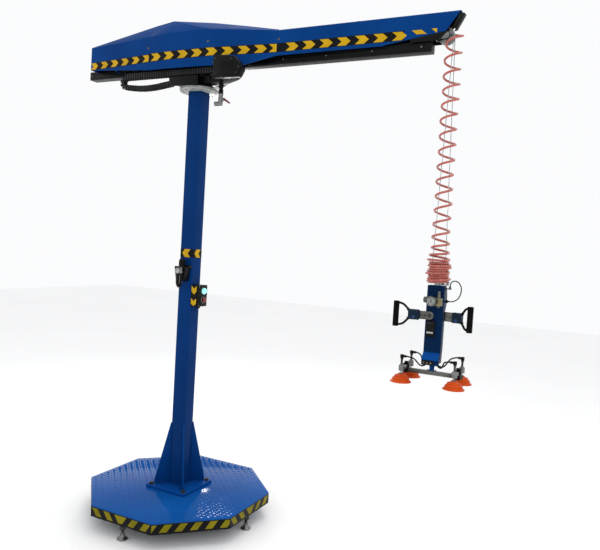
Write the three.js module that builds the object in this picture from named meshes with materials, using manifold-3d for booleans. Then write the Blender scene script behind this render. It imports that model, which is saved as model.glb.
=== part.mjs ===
// Column-mounted rope balancer: a slewing, sliding boom on a column with an eight-sided platform.
// A vacuum gripper hangs from the boom on two wire ropes. Millimetres, +Z up, +X along the boom.
import * as THREE from "three";
import { ConvexGeometry } from "three/addons/geometries/ConvexGeometry.js";
import { mergeVertices } from "three/addons/utils/BufferGeometryUtils.js";
import Module from "manifold-3d";

const wasm = await Module();
wasm.setup();

// --- driving dimensions, mm -------------------------------------------------------------------
const GAP = 0.3;
const DECK_FLATS = 1100; // across the flats of the platform
const DECK_TOP = 160;
const SKIRT = 68;
const PLATE = 6;
const FOOT_RADIUS = 525; // distance of a foot from the column's axis
const FOOT_PAD = 32;
const FOOT_STEM = 10;
const FLANGE = 305; // base flange, square
const FLANGE_THICK = 20;
const FIN_REACH = 163;
const FIN_TOP = 580;
const COLUMN = 100; // square tube
const COLUMN_CORNER = 8;
const COLUMN_TOP = 2719.7;
const RING_RADIUS = 125;
const RING_TOP = 2740;
const TURRET_RADIUS = 88;
const HOUSING_HALF = 85;
const RAIL_HALF = 31;
const RAIL_BOTTOM = 2850;
const RAIL_TOP = 2905;
const RAIL_REAR = -918;
const RAIL_FRONT = 1515;
const ROLLER_RADIUS = 20;
const ROLLER_X = 120;
const SHEET = 3;
const CHAIN_NEAR = -124; // energy chain, along Y
const CHAIN_FAR = -90;
const CHAIN_HALF = 16.5;
const CHAIN_TOP = 2845; // upper run
const CHAIN_UPPER = 2819.5;
const CHAIN_LOWER = 2757;
const CHAIN_BEND = -507;
const FAR_HEM = 2884; // lower edge of the covers on their far side
const SHEAVE_X = 1585;
const SHEAVE_Z = 2930;
const SHEAVE_RADIUS = 43;
const GRIP_X = 1626; // axis on which the gripper hangs
const ROPE = 2; // radius
const HOSE_TOP = 2868;
const HANGER_TOP = 1712;
const BODY_TOP = 1612;
const BODY_HALF = 46;
const BODY_FRONT = 30;
const BAR_Z = 1450; // middle of the handle bars
const BEAM_TOP = 1150;
const BEAM_BOTTOM = 1128;
const CROSS_X = 142; // cross bars, either side of the gripper's axis
const CUP_Y = 88;
const CUP_RIM = 1085;
const CUP_TOP = 1133;
const CUP_RADIUS = 57;
const CUP_ROD = 4;
const HUB_Z = 1224; // elbows on top of the plungers
const HANDLE_ANGLE = 10.5; // degrees that each handle is turned towards the operator
const LEFT_GRIP = { sleeve: [75, 135], reach: 200 }; // along the arm, from the gripper's axis
const RIGHT_GRIP = { sleeve: [99, 151], reach: 194 };
const ORIGIN_X = 457.5; // middle of the object's length; the part's origin lies under it on the floor

// --- paints and materials ---------------------------------------------------------------------
function finish(color, roughness, metalness) {
  return new THREE.MeshStandardMaterial({ color, roughness, metalness });
}
const BLUE = finish(0x1a4fb0, 0.35, 0.1);
const BLACK = finish(0x141416, 0.5, 0.2);
const STEEL = finish(0xa8acb0, 0.35, 0.9);
const IRON = finish(0x3c3f44, 0.7, 0.6);
const SILVER = finish(0xc9ccd0, 0.3, 0.9);
const GREY = finish(0x7f8488, 0.45, 0.7);
const TEAL = finish(0x17434c, 0.5, 0.1);
const ORANGE = finish(0xe2500f, 0.45, 0);
const HOSE_RED = finish(0xd8705c, 0.3, 0);
const GREEN = finish(0x2fd6b0, 0.2, 0);
const RED = finish(0xa01c1c, 0.4, 0);

const part = new THREE.Group();
function add(name, geometry, material) {
  const mesh = new THREE.Mesh(geometry, material.clone());
  mesh.name = name;
  part.add(mesh);
  return mesh;
}

// --- solids -----------------------------------------------------------------------------------
function toSolid(geometry) {
  const plain = geometry.index ? geometry.toNonIndexed() : geometry;
  const bare = new THREE.BufferGeometry().setAttribute("position", plain.getAttribute("position"));
  const merged = mergeVertices(bare, 1e-3);
  return new wasm.Manifold(
    new wasm.Mesh({
      numProp: 3,
      vertProperties: new Float32Array(merged.attributes.position.array),
      triVerts: new Uint32Array(merged.index.array),
    }),
  );
}
function toGeometry(solid) {
  const mesh = solid.getMesh();
  const step = mesh.numProp;
  const xyz = new Float32Array(mesh.numVert * 3);
  for (let i = 0; i < mesh.numVert; i++) {
    xyz.set(mesh.vertProperties.subarray(i * step, i * step + 3), i * 3);
  }
  const made = new THREE.BufferGeometry();
  made.setAttribute("position", new THREE.BufferAttribute(xyz, 3));
  made.setIndex(new THREE.BufferAttribute(new Uint32Array(mesh.triVerts), 1));
  return made;
}
function join(...geometries) {
  return toGeometry(geometries.map(toSolid).reduce((a, b) => a.add(b)));
}
function cut(from, ...tools) {
  return toGeometry(tools.map(toSolid).reduce((a, b) => a.subtract(b), toSolid(from)));
}
function box(x0, x1, y0, y1, z0, z1) {
  const g = new THREE.BoxGeometry(x1 - x0, y1 - y0, z1 - z0);
  return g.translate((x0 + x1) / 2, (y0 + y1) / 2, (z0 + z1) / 2);
}
// A round bar from a to b along one of the axes "x", "y" or "z"; u and v place it on the other two.
function bar(axis, a, b, u, v, r0, r1 = r0, sides = 24) {
  const g = new THREE.CylinderGeometry(r1, r0, b - a, sides);
  if (axis === "x") return g.rotateZ(-Math.PI / 2).translate((a + b) / 2, u, v);
  if (axis === "y") return g.translate(u, (a + b) / 2, v);
  return g.rotateX(Math.PI / 2).translate(u, v, (a + b) / 2);
}
function outline(points) {
  return new THREE.Shape(points.map(([x, y]) => new THREE.Vector2(x, y)));
}
// A flat outline in X and Z, given depth along Y.
function sideProfile(points, y0, y1) {
  const g = new THREE.ExtrudeGeometry(outline(points), { depth: y1 - y0, bevelEnabled: false });
  return g.rotateX(Math.PI / 2).translate(0, y1, 0);
}
// A flat outline in Y and Z, given depth along X.
function endProfile(points, x0, x1) {
  const g = new THREE.ExtrudeGeometry(outline(points), { depth: x1 - x0, bevelEnabled: false });
  g.applyMatrix4(new THREE.Matrix4().makeBasis(
    new THREE.Vector3(0, 1, 0), new THREE.Vector3(0, 0, 1), new THREE.Vector3(1, 0, 0)));
  return g.translate(x0, 0, 0);
}
// A flat outline in X and Y, given depth along Z.
function plan(shape, z0, z1) {
  return new THREE.ExtrudeGeometry(shape, { depth: z1 - z0, bevelEnabled: false, curveSegments: 4 })
    .translate(0, 0, z0);
}
function octagon(acrossFlats) {
  const r = acrossFlats / 2 / Math.cos(Math.PI / 8);
  const points = [];
  for (let i = 0; i < 8; i++) {
    const a = Math.PI / 8 + (i * Math.PI) / 4;
    points.push([r * Math.cos(a), r * Math.sin(a)]);
  }
  return outline(points);
}
function roundedSquare(side, corner) {
  const h = side / 2;
  const s = new THREE.Shape();
  s.moveTo(-h + corner, -h);
  s.lineTo(h - corner, -h);
  s.absarc(h - corner, -h + corner, corner, -Math.PI / 2, 0);
  s.lineTo(h, h - corner);
  s.absarc(h - corner, h - corner, corner, 0, Math.PI / 2);
  s.lineTo(-h + corner, h);
  s.absarc(-h + corner, h - corner, corner, Math.PI / 2, Math.PI);
  s.lineTo(-h, -h + corner);
  s.absarc(-h + corner, -h + corner, corner, Math.PI, Math.PI * 1.5);
  return s;
}
function turned(profile, sides = 32) {
  const points = profile.map(([r, z]) => new THREE.Vector2(r, z));
  return new THREE.LatheGeometry(points, sides).rotateX(Math.PI / 2);
}
function tube(points, radius, sides = 8, steps = 24) {
  const path = new THREE.CatmullRomCurve3(points.map((p) => new THREE.Vector3(...p)), false, "centripetal");
  const ring = new THREE.Shape();
  for (let i = 0; i < sides; i++) {
    const a = (2 * Math.PI * i) / sides;
    const x = radius * Math.cos(a);
    const y = radius * Math.sin(a);
    if (i) ring.lineTo(x, y);
    else ring.moveTo(x, y);
  }
  return new THREE.ExtrudeGeometry(ring, { steps, extrudePath: path, bevelEnabled: false });
}
function ribbon(points, half) {
  const left = [];
  const right = [];
  points.forEach(([x, z], i) => {
    const [ax, az] = points[Math.max(0, i - 1)];
    const [bx, bz] = points[Math.min(points.length - 1, i + 1)];
    const l = Math.hypot(bx - ax, bz - az);
    left.push([x - ((bz - az) / l) * half, z + ((bx - ax) / l) * half]);
    right.push([x + ((bz - az) / l) * half, z - ((bx - ax) / l) * half]);
  });
  return right.concat(left.reverse());
}

// --- platform, column -------------------------------------------------------------------------
function platformDeck() {
  const bottom = DECK_TOP - SKIRT;
  let deck = toSolid(plan(octagon(DECK_FLATS), bottom, DECK_TOP));
  deck = deck.subtract(toSolid(plan(octagon(DECK_FLATS - 2 * PLATE), bottom - 5, DECK_TOP - PLATE)));
  for (let i = 0; i < 4; i++) {
    const a = (i * Math.PI) / 2;
    const x = FOOT_RADIUS * Math.cos(a);
    const y = FOOT_RADIUS * Math.sin(a);
    deck = deck.add(toSolid(bar("z", bottom + 4, DECK_TOP - PLATE + 1, x, y, 20)));
    deck = deck.subtract(toSolid(bar("z", bottom - 5, DECK_TOP - 12, x, y, FOOT_STEM + GAP)));
  }
  add("platform_deck", toGeometry(deck), BLUE);
}
function ballast() {
  const slab = plan(octagon(990), DECK_TOP - SKIRT + 10, DECK_TOP - PLATE - GAP);
  add("ballast_slab", slab, IRON);
}
function foot(name, angle) {
  const x = FOOT_RADIUS * Math.cos(angle);
  const y = FOOT_RADIUS * Math.sin(angle);
  const pad = turned([[0, 0], [FOOT_PAD, 0], [FOOT_PAD, 8], [14, 22], [14, 30], [0, 30]], 24);
  const stem = bar("z", 25, DECK_TOP - 40, 0, 0, FOOT_STEM);
  const nut = bar("z", 62, 78, 0, 0, 18, 18, 6);
  add(name, join(pad, stem, nut).translate(x, y, 0), STEEL);
}
function columnTube() {
  const outer = plan(roundedSquare(COLUMN, COLUMN_CORNER), DECK_TOP + FLANGE_THICK + GAP, COLUMN_TOP);
  const inner = plan(roundedSquare(COLUMN - 10, 4), DECK_TOP, COLUMN_TOP + 10);
  add("column_tube", cut(outer, inner), BLUE);
}
function baseFlange() {
  const h = FLANGE / 2;
  const low = DECK_TOP + GAP;
  const top = DECK_TOP + FLANGE_THICK;
  const plate = plan(outline([[-h, -h], [h, -h], [h, h], [-h, h]]), low, top);
  const inner = COLUMN / 2 * Math.SQRT2 - COLUMN_CORNER * (Math.SQRT2 - 1) + 0.5;
  const fin = [
    [inner, top - 4],
    [FIN_REACH, top - 4],
    [FIN_REACH, top + 24],
    [inner + 5, FIN_TOP],
    [inner, FIN_TOP],
  ];
  const pieces = [plate];
  for (let i = 0; i < 4; i++) {
    const a = Math.PI / 4 + (i * Math.PI) / 2;
    pieces.push(sideProfile(fin, -5, 5).rotateZ(a));
    const r = 128 * Math.SQRT2;
    const washer = bar("z", top - 1, top + 3, r, 0, 17, 17, 20);
    const head = bar("z", top + 2, top + 13, r, 0, 13.5, 13.5, 6);
    pieces.push(washer.rotateZ(a), head.rotateZ(a));
  }
  add("base_flange", join(...pieces), BLUE);
}
function slewRing() {
  const low = RING_TOP - 20;
  const rim = RING_RADIUS;
  const profile = [[0, low], [rim - 2, low], [rim, low + 2], [rim, RING_TOP], [0, RING_TOP]];
  add("slew_ring", turned(profile, 40), SILVER);
}
function controlBox() {
  const body = box(50.3, 108, -50, 50, 1352, 1490);
  const upper = bar("x", 94, 110, 5, 1452, 14.6);
  const lower = bar("x", 94, 110, 5, 1395, 12.6);
  add("control_box", cut(body, upper, lower), BLACK);
  add("start_button", join(bar("x", 101, 115, 5, 1452, 14), bar("x", 114, 124, 5, 1452, 19, 17)), GREEN);
  add("stop_button", join(bar("x", 101, 115, 5, 1395, 12), bar("x", 114, 126, 5, 1395, 18, 20)), RED);
}
function serviceUnit() {
  const shell = sideProfile([[-46, 1604], [40, 1604], [26, 1512], [-30, 1512]], -106, -50.3);
  const bowl = turned([[0, 1474], [12, 1477], [19, 1490], [19, 1560], [0, 1560]], 20).translate(4, -118, 0);
  const cap = bar("z", 1555, 1598, 4, -118, 23);
  const knob = bar("z", 1590, 1652, -8, -80, 19, 17);
  const strap = box(-45, 49, -58, -50.3, 1594, 1612);
  add("service_unit", join(shell, bowl, cap, knob, strap), BLACK);
}

// --- slewing head -----------------------------------------------------------------------------
function headHousing() {
  const near = [[-180, 2822], [-180, 2776], [-120, 2760], [190, 2758], [290, 2784], [318, 2822]];
  const far = [[-180, 2822], [-180, 2776], [-120, 2760], [110, 2760], [170, 2794], [244, 2812], [258, 2822]];
  let head = toSolid(sideProfile(near, -HOUSING_HALF, 4)).add(toSolid(sideProfile(far, 0, HOUSING_HALF)));
  head = head.add(toSolid(bar("z", RING_TOP + GAP, 2765, 0, 0, TURRET_RADIUS, TURRET_RADIUS, 32)));
  const axle = RAIL_BOTTOM - ROLLER_RADIUS - 0.5;
  for (const x of [-ROLLER_X, ROLLER_X]) {
    head = head.add(toSolid(box(x - 24, x + 24, -56, 56, 2815, 2840)));
    head = head.subtract(toSolid(box(x - 24.5, x + 24.5, -39, 39, 2806, 2845)));
    head = head.subtract(toSolid(bar("y", -52, 52, x, axle, 6.3)));
  }
  head = head.add(toSolid(box(-132, 80, -133, -HOUSING_HALF + 1, 2789, 2796)));
  head = head.add(toSolid(box(-132, 80, -133, -128, 2738, 2796)));
  add("head_housing", toGeometry(head), BLACK);
  for (const [name, x] of [["roller_rear", -ROLLER_X], ["roller_front", ROLLER_X]]) {
    const roller = join(bar("y", -36, 36, x, axle, ROLLER_RADIUS), bar("y", -50, 50, x, axle, 6));
    add(name, roller, STEEL);
  }
}
function brakeUnit() {
  const side = [[240, 2882], [385, 2868], [441, 2812], [448, 2786], [425, 2746], [240, 2750]];
  const block = sideProfile(side, -212, -166);
  const arm = box(245, 285, -170, -HOUSING_HALF - GAP, 2784, 2800);
  add("brake_unit", join(block, arm), BLACK);
}
function valve() {
  const body = bar("z", 2632, 2757.5, 205, -55, 15);
  const foot = bar("x", 162, 214, -55, 2630, 15);
  const boss = bar("x", 205, 226, -55, 2655, 8);
  add("valve_body", join(body, foot, boss), SILVER);
  const hub = bar("x", 226 + GAP, 234, -55, 2655, 10);
  const blade = sideProfile([[228, 2662], [236, 2662], [276, 2634], [271, 2627], [229, 2650]], -61, -49);
  add("valve_lever", join(hub, blade), RED);
}
function chain() {
  const upper = box(CHAIN_BEND + 6, 240, CHAIN_NEAR, CHAIN_FAR, CHAIN_UPPER - CHAIN_HALF, CHAIN_TOP);
  const post = box(215, 240, CHAIN_NEAR, CHAIN_FAR, CHAIN_UPPER, 2849);
  const arm = box(215, 240, CHAIN_NEAR, -RAIL_HALF + 10, 2843, RAIL_BOTTOM - GAP);
  add("chain_upper", join(upper, post, arm), BLACK);
  const middle = (CHAIN_UPPER + CHAIN_LOWER) / 2;
  const radius = (CHAIN_UPPER - CHAIN_LOWER) / 2;
  const path = [[CHAIN_BEND + 5, CHAIN_UPPER]];
  for (let i = 0; i <= 10; i++) {
    const a = Math.PI / 2 + (i * Math.PI) / 10;
    path.push([CHAIN_BEND + radius * Math.cos(a), middle + radius * Math.sin(a)]);
  }
  path.push([-455, 2750], [-390, 2743.5], [-325, 2742], [-255, 2746], [-190, 2754], [-130, 2761]);
  add("chain_bend", sideProfile(ribbon(path, CHAIN_HALF), CHAIN_NEAR, CHAIN_FAR), BLACK);
}

// --- boom -------------------------------------------------------------------------------------
function rail() {
  const outer = box(RAIL_REAR, RAIL_FRONT, -RAIL_HALF, RAIL_HALF, RAIL_BOTTOM, RAIL_TOP);
  const half = RAIL_HALF - 5;
  const inner = box(RAIL_REAR - 5, RAIL_FRONT - 8, -half, half, RAIL_BOTTOM + 5, RAIL_TOP - 5);
  const plate = box(RAIL_FRONT - 8, RAIL_FRONT, -RAIL_HALF, RAIL_HALF, RAIL_BOTTOM, SHEAVE_Z + 26);
  const hole = bar("x", RAIL_FRONT - 20, RAIL_FRONT + 5, 0, SHEAVE_Z, 9.3);
  add("boom_rail", cut(join(cut(outer, inner), plate), hole), BLACK);
}
// One cover of folded sheet, from its stations: x, half width, bottom, eaves, half width of the top, top.
function cover(stations, inset) {
  const points = [];
  stations.forEach(([x, w, zb, ze, t, zt]) => {
    for (const s of [-1, 1]) {
      points.push(new THREE.Vector3(x, s * (w - inset), zb));
      points.push(new THREE.Vector3(x, s * (w - inset), ze - inset * 0.4));
      points.push(new THREE.Vector3(x, s * (t - inset * 0.6), zt - inset));
    }
  });
  return new ConvexGeometry(points);
}
function sheetCover(name, stations, rearClosed, frontClosed) {
  const inside = stations.map((s) => [...s]);
  const last = inside.length - 1;
  inside[0][0] += rearClosed ? SHEET : -1;
  inside[last][0] += frontClosed ? -SHEET : 1;
  inside.forEach((s) => {
    s[2] -= 12;
  });
  const slot = box(RAIL_REAR, RAIL_FRONT, -RAIL_HALF - 1, RAIL_HALF + 1, RAIL_BOTTOM - 60, RAIL_TOP + 1);
  const below = box(RAIL_REAR, RAIL_FRONT, RAIL_HALF, 200, RAIL_BOTTOM - 60, FAR_HEM);
  add(name, cut(cover(stations, 0), cover(inside, SHEET), slot, below), BLUE);
}
function covers() {
  sheetCover("rear_cover", [
    [-848, 100, 2895, 3044, 97, 3049],
    [-303, 146, 2847, 3056, 98, 3137],
  ], true, false);
  sheetCover("mid_cover", [
    [-302, 146, 2847, 3056, 98, 3137],
    [-150, 154, 2845, 3064, 100, 3156],
    [160, 150, 2842, 3062, 88, 3117],
    [400, 115, 2838, 3045, 82, 3076],
    [545, 93, 2875, 3035, 76, 3049],
    [602, 85, 2885, 3030, 73, 3040],
  ], false, false);
}
function frontCover() {
  const outer = new ConvexGeometry([
    [603, 85, 2885], [603, 85, 3030], [603, 73, 3037], [1552, 38, 2896], [1655, 38, 3042], [1661, 33, 3048],
  ].flatMap(([x, y, z]) => [new THREE.Vector3(x, y, z), new THREE.Vector3(x, -y, z)]));
  const inner = new ConvexGeometry([
    [600, 82, 2865], [600, 82, 3028], [600, 71, 3034], [1700, 33, 2868], [1700, 33, 3040], [1700, 29, 3045],
  ].flatMap(([x, y, z]) => [new THREE.Vector3(x, y, z), new THREE.Vector3(x, -y, z)]));
  add("front_cover", cut(outer, inner), BLUE);
  // nose cap, inside the mouth of the cover
  const mouth = [[1616, 2962, 31], [1637, 2961, 18], [1650, 3031, 29], [1678, 3037, 18], [1660, 3040, 26]];
  const nose = [[1600, 2955, 27], [1631, 2950, 13], [1640, 3026, 25], [1671, 3032, 14], [1652, 3035, 22]];
  const hull = (points) => new ConvexGeometry(points.flatMap(([x, z, y]) => [
    new THREE.Vector3(x, y, z), new THREE.Vector3(x, -y, z),
  ]));
  add("tip_cap", cut(hull(mouth), hull(nose)), BLACK);
}
function liftCylinder() {
  const z = 2975;
  const barrel = cut(bar("x", -830, 30, 0, z, 45, 45, 32), bar("x", -818, 18, 0, z, 40, 40, 32),
    bar("x", 10, 40, 0, z, 12.4), bar("x", -840, -810, 0, z, 5));
  const rear = box(-790, -765, -30, 30, RAIL_TOP + GAP, z - 35);
  const front = box(-25, 0, -30, 30, RAIL_TOP + GAP, z - 35);
  add("lift_cylinder", join(barrel, cut(rear, bar("x", -800, -760, 0, z, 42, 42, 32)),
    cut(front, bar("x", -30, 5, 0, z, 42, 42, 32))), STEEL);
  const piston = bar("x", -437, -407, 0, z, 39.5, 39.5, 32);
  const rod = bar("x", -410, 596, 0, z, 12);
  const yoke = box(590, 652, -26, -18, z - 18, z + 18);
  const yoke2 = box(590, 652, 18, 26, z - 18, z + 18);
  const bridge = box(588, 598, -26, 26, z - 18, z + 18);
  const wheel = bar("y", -18, 18, 636, z, 36, 36, 28);
  add("piston_rod", join(piston, rod, yoke, yoke2, bridge, wheel), STEEL);
}

// --- tip sheave, ropes, hose ------------------------------------------------------------------
function tipSheave() {
  const r = SHEAVE_RADIUS;
  const g = r - 5;
  const half = [[r, 9], [g, 9.5], [g, 14.5], [r, 15], [r, 20], [6.3, 20]];
  const profile = [...half.map(([a, b]) => [a, -b]).reverse(), ...half, [6.3, -20]];
  const wheel = new THREE.LatheGeometry(profile.map(([a, b]) => new THREE.Vector2(a, b)), 36);
  add("tip_sheave", wheel.translate(SHEAVE_X, 0, SHEAVE_Z), GREY);
  const z = SHEAVE_Z;
  const near = box(1534, 1604, -28, -22, z - 18, z + 18);
  const far = box(1534, 1604, 22, 28, z - 18, z + 18);
  const bridge = box(1524, 1536, -28, 28, z - 18, z + 18);
  const stub = bar("x", RAIL_FRONT - 7, 1526, 0, z, 9);
  const pin = bar("y", -24, 24, SHEAVE_X, z, 6);
  add("sheave_fork", join(near, far, bridge, stub, pin), GREY);
}
function ropesAndHose() {
  for (const [name, s] of [["rope_near", -1], ["rope_far", 1]]) {
    const top = [GRIP_X, 12 * s, SHEAVE_Z - 2];
    const low = [GRIP_X + 30 * s, 22 * s, HANGER_TOP];
    add(name, tube([top, low], ROPE, 8, 1), STEEL);
  }
  const outer = 49;
  const profile = [[outer - 6, HOSE_TOP], [outer - 6, 1650], [50, 1642], [50, 1622.5], [59, 1622.5],
    [66, 1640], [68, 1655], [68, 1728], [58, 1752],
    [outer, 1768], [outer, HOSE_TOP], [outer - 6, HOSE_TOP]];
  const coil = turned(profile, 24);
  add("coil_hose", coil.translate(GRIP_X, 0, 0), HOSE_RED);
}

// --- gripper ----------------------------------------------------------------------------------
function hanger() {
  const turn = Math.atan2(22, 30);
  const spreader = box(-41, 41, -6, 6, HANGER_TOP - 14, HANGER_TOP - GAP).rotateZ(turn);
  const post = bar("z", 1626, HANGER_TOP - 10, 0, 0, 9);
  const plate = box(-34, 34, -24, 24, 1622, 1630);
  const arm = box(20, 54, -7, 7, 1614.5, 1620);
  const step = box(20, 33, -7, 7, 1615, 1626);
  const union = bar("z", 1614.5, 1622, 53, 0, 7.5, 7.5, 16);
  add("rope_hanger", join(spreader, post, plate, arm, step, union).translate(GRIP_X, 0, 0), SILVER);
}
function gripperBody() {
  const side = [[-BODY_FRONT, BODY_TOP], [-BODY_FRONT, 1252], [-58, 1220], [-58, 1187], [-42, 1187],
    [-36, 1196], [12, 1196], [22, 1280], [22, 1470], [48, 1512], [48, 1566], [24, BODY_TOP]];
  const inside = [[-24, BODY_TOP - 6], [-24, 1254], [-52, 1222], [-52, 1180], [-23, 1180], [-23, 1204],
    [7, 1204], [16, 1282], [16, 1472], [42, 1514], [42, 1564], [19, BODY_TOP - 6]];
  const wall = BODY_HALF - 5;
  const body = cut(
    endProfile(side, GRIP_X - BODY_HALF, GRIP_X + BODY_HALF),
    endProfile(inside, GRIP_X - wall, GRIP_X + wall),
  );
  const spigot = bar("z", BODY_TOP - 5, 1621.7, GRIP_X, 0, 16);
  const bracket = box(GRIP_X + BODY_HALF - 2, GRIP_X + 77, -9, 9, 1594, 1600);
  const upright = bar("z", 1598, 1612, GRIP_X + 68, 0, 6.5, 6.5, 16);
  const port = bar("x", GRIP_X + BODY_HALF - 2, GRIP_X + 56, 32, 1528, 9, 9, 16);
  add("gripper_body", join(body, spigot, bracket, upright, port), BLUE);
}
function controls() {
  const front = -BODY_FRONT - GAP;
  add("control_block", box(GRIP_X - 35, GRIP_X + 11, front - 14, front, 1337, 1423), BLACK);
  const x = GRIP_X - 6;
  const z = 1530;
  const stem = bar("y", front - 40, front, x, z, 16);
  const gauge = bar("y", front - 62, front - 38, x, z, 27, 27, 28);
  const block = box(x - 24, x + 22, front - 40, front - 8, z - 26, z + 22);
  const fitting = bar("z", z - 34, z + 54, x + 32, front - 22, 9, 9, 16);
  const link = box(x + 20, x + 50, front - 36, front - 10, z - 24, z + 18);
  add("regulator", join(stem, gauge, block, fitting, link), SILVER);
  add("regulator_knob", bar("x", x - 50, x - 24 - GAP, front - 19, z + 4, 15, 17, 20), GREY);
}
// A flat bar in X and Z that ends in a half round at its near end.
function barShape(x1, x0, half) {
  const s = new THREE.Shape();
  s.moveTo(x1, -half);
  s.lineTo(x1, half);
  s.lineTo(x0, half);
  s.absarc(x0, 0, half, Math.PI / 2, Math.PI * 1.5);
  return s;
}
// A handle along +X from the gripper's axis: sleeve, hand grip and its two arms.
function gripPiece(name, shape, place) {
  const [a, b] = shape.sleeve;
  const end = shape.reach;
  const bend = b + (end - b) * 0.4;
  const grip = bar("z", -70, 66, end, 0, 16, 16, 16);
  const sleeve = box(a, b, -19, 19, -27, 27);
  const upper = tube([[b - 5, 0, 20], [bend, 0, 50], [end, 0, 58]], 6, 8, 8);
  const lower = tube([[b - 5, 0, -20], [bend, 0, -53], [end, 0, -61]], 6, 8, 8);
  add(name, place(join(grip, sleeve, upper, lower)), TEAL);
}
function handles() {
  const lean = (HANDLE_ANGLE * Math.PI) / 180;
  const left = (g) => g.rotateZ(Math.PI + lean).translate(GRIP_X, -36, BAR_Z);
  const right = (g) => g.rotateZ(-lean).translate(GRIP_X, 0, BAR_Z);
  const options = { depth: 10, bevelEnabled: false, curveSegments: 8 };
  const flat = new THREE.ExtrudeGeometry(barShape(LEFT_GRIP.sleeve[0] - GAP, 22, 22), options);
  flat.rotateX(Math.PI / 2).translate(0, 5, 0);
  const boss = bar("y", -8.2, 2, 22, 0, 9, 9, 16);
  add("handle_bar_left", left(join(flat, boss)), GREY);
  const end = RIGHT_GRIP.sleeve[0] - GAP;
  add("handle_bar_right", right(box(BODY_HALF + 3, end, -5, 5, -25, 25)), GREY);
  gripPiece("grip_left", LEFT_GRIP, left);
  gripPiece("grip_right", RIGHT_GRIP, right);
}
function loopHose() {
  const path = [[68, 0, 1612.4], [69, 0, 1622], [78, 1, 1637], [95, 4, 1641], [112, 8, 1632], [124, 14, 1608],
    [122, 20, 1578], [110, 26, 1550], [88, 31, 1533], [70, 32, 1528.4], [56.4, 32, 1528]];
  add("loop_hose", tube(path.map(([x, y, z]) => [GRIP_X + x, y, z]), 3, 8, 40), BLACK);
}

// --- suction frame ----------------------------------------------------------------------------
function suctionFrame() {
  const beam = box(GRIP_X - 166, GRIP_X + 166, -12, 12, BEAM_BOTTOM, BEAM_TOP);
  const stem = bar("z", BEAM_TOP + GAP, 1180, GRIP_X, 0, 13);
  const manifold = bar("z", 1179, 1195.6, GRIP_X, 0, 19);
  add("suction_stem", join(stem, manifold), BLUE);
  add("beam", beam, SILVER);
}
function crossBar(name, x) {
  const z0 = BEAM_TOP + GAP;
  const rod = box(x - 9, x + 9, -CUP_Y, CUP_Y, z0, z0 + 18);
  let solid = toSolid(rod);
  for (const y of [-CUP_Y, CUP_Y]) {
    solid = solid.add(toSolid(bar("z", CUP_TOP + 12, CUP_TOP + 42, x, y, 15)));
    solid = solid.subtract(toSolid(bar("z", CUP_TOP, CUP_TOP + 60, x, y, 6.4)));
  }
  const saddle = cut(box(x - 14, x + 14, -20, 20, BEAM_BOTTOM - 4, z0 + 24),
    box(x - 15, x + 15, -12 - GAP, 12 + GAP, BEAM_BOTTOM - 10, z0));
  solid = solid.add(toSolid(saddle));
  const knob = bar("z", z0 + 22, z0 + 34, x + 0, 0, 10, 12, 12);
  solid = solid.add(toSolid(knob));
  add(name, toGeometry(solid), GREY);
}
function plungerAndCup(tag, x, y) {
  const barrel = bar("z", CUP_TOP + 12 + GAP, HUB_Z - 2, x, y, 6);
  const hub = bar("z", HUB_Z - 10, HUB_Z + 8, x, y, 10, 10, 16);
  const inward = x > GRIP_X ? -1 : 1;
  const spout = bar("x", Math.min(x, x + inward * 24), Math.max(x, x + inward * 24), y, HUB_Z, 7, 7, 12);
  const bore = bar("z", CUP_TOP, HUB_Z - 7, x, y, CUP_ROD + GAP);
  add("plunger_" + tag, cut(join(barrel, hub, spout), bore), BLACK);
  const h = CUP_TOP - CUP_RIM;
  const z = (f) => CUP_RIM + h * f;
  const inside = [[0, z(0.62)], [24, z(0.58)], [40, z(0.2)], [CUP_RADIUS - 3, z(0)]];
  const bellows = [[CUP_RADIUS, z(0)], [CUP_RADIUS, z(0.05)], [44, z(0.3)], [46, z(0.38)], [34, z(0.62)]];
  const neck = [[35, z(0.7)], [18, z(0.86)], [14, z(1)]];
  const rod = [[CUP_ROD, z(1)], [CUP_ROD, HUB_Z - 20], [0, HUB_Z - 20]];
  const profile = [...inside, ...bellows, ...neck, ...rod];
  add("cup_" + tag, turned(profile, 32).translate(x, y, 0), ORANGE);
}
function vacuumHose(tag, x, y) {
  const inward = x > GRIP_X ? -1 : 1;
  const port = y > 0 ? 6 : -6;
  const path = [
    [x + inward * 24.4, y, HUB_Z],
    [x + inward * 32, y, HUB_Z],
    [x + inward * 60, y * 0.78, HUB_Z - 10],
    [GRIP_X - inward * 60, y * 0.34, 1179],
    [GRIP_X - inward * 42, y * 0.16, 1175.5],
    [GRIP_X - inward * 27, port, 1186.6],
    [GRIP_X - inward * 19.2, port, 1187.5],
  ];
  add("vacuum_hose_" + tag, tube(path, 4, 8, 24), BLACK);
}
function suction() {
  suctionFrame();
  crossBar("cross_bar_left", GRIP_X - CROSS_X);
  crossBar("cross_bar_right", GRIP_X + CROSS_X);
  for (const [tag, sx, sy] of [["fl", -1, -1], ["bl", -1, 1], ["fr", 1, -1], ["br", 1, 1]]) {
    plungerAndCup(tag, GRIP_X + sx * CROSS_X, sy * CUP_Y);
    vacuumHose(tag, GRIP_X + sx * CROSS_X, sy * CUP_Y);
  }
}

platformDeck();
ballast();
foot("foot_front", -Math.PI / 2);
foot("foot_right", 0);
foot("foot_back", Math.PI / 2);
foot("foot_left", Math.PI);
columnTube();
baseFlange();
slewRing();
controlBox();
serviceUnit();
headHousing();
brakeUnit();
valve();
chain();
rail();
covers();
frontCover();
liftCylinder();
tipSheave();
ropesAndHose();
hanger();
gripperBody();
controls();
handles();
loopHose();
suction();
part.position.x = -ORIGIN_X;

export default part;
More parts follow.
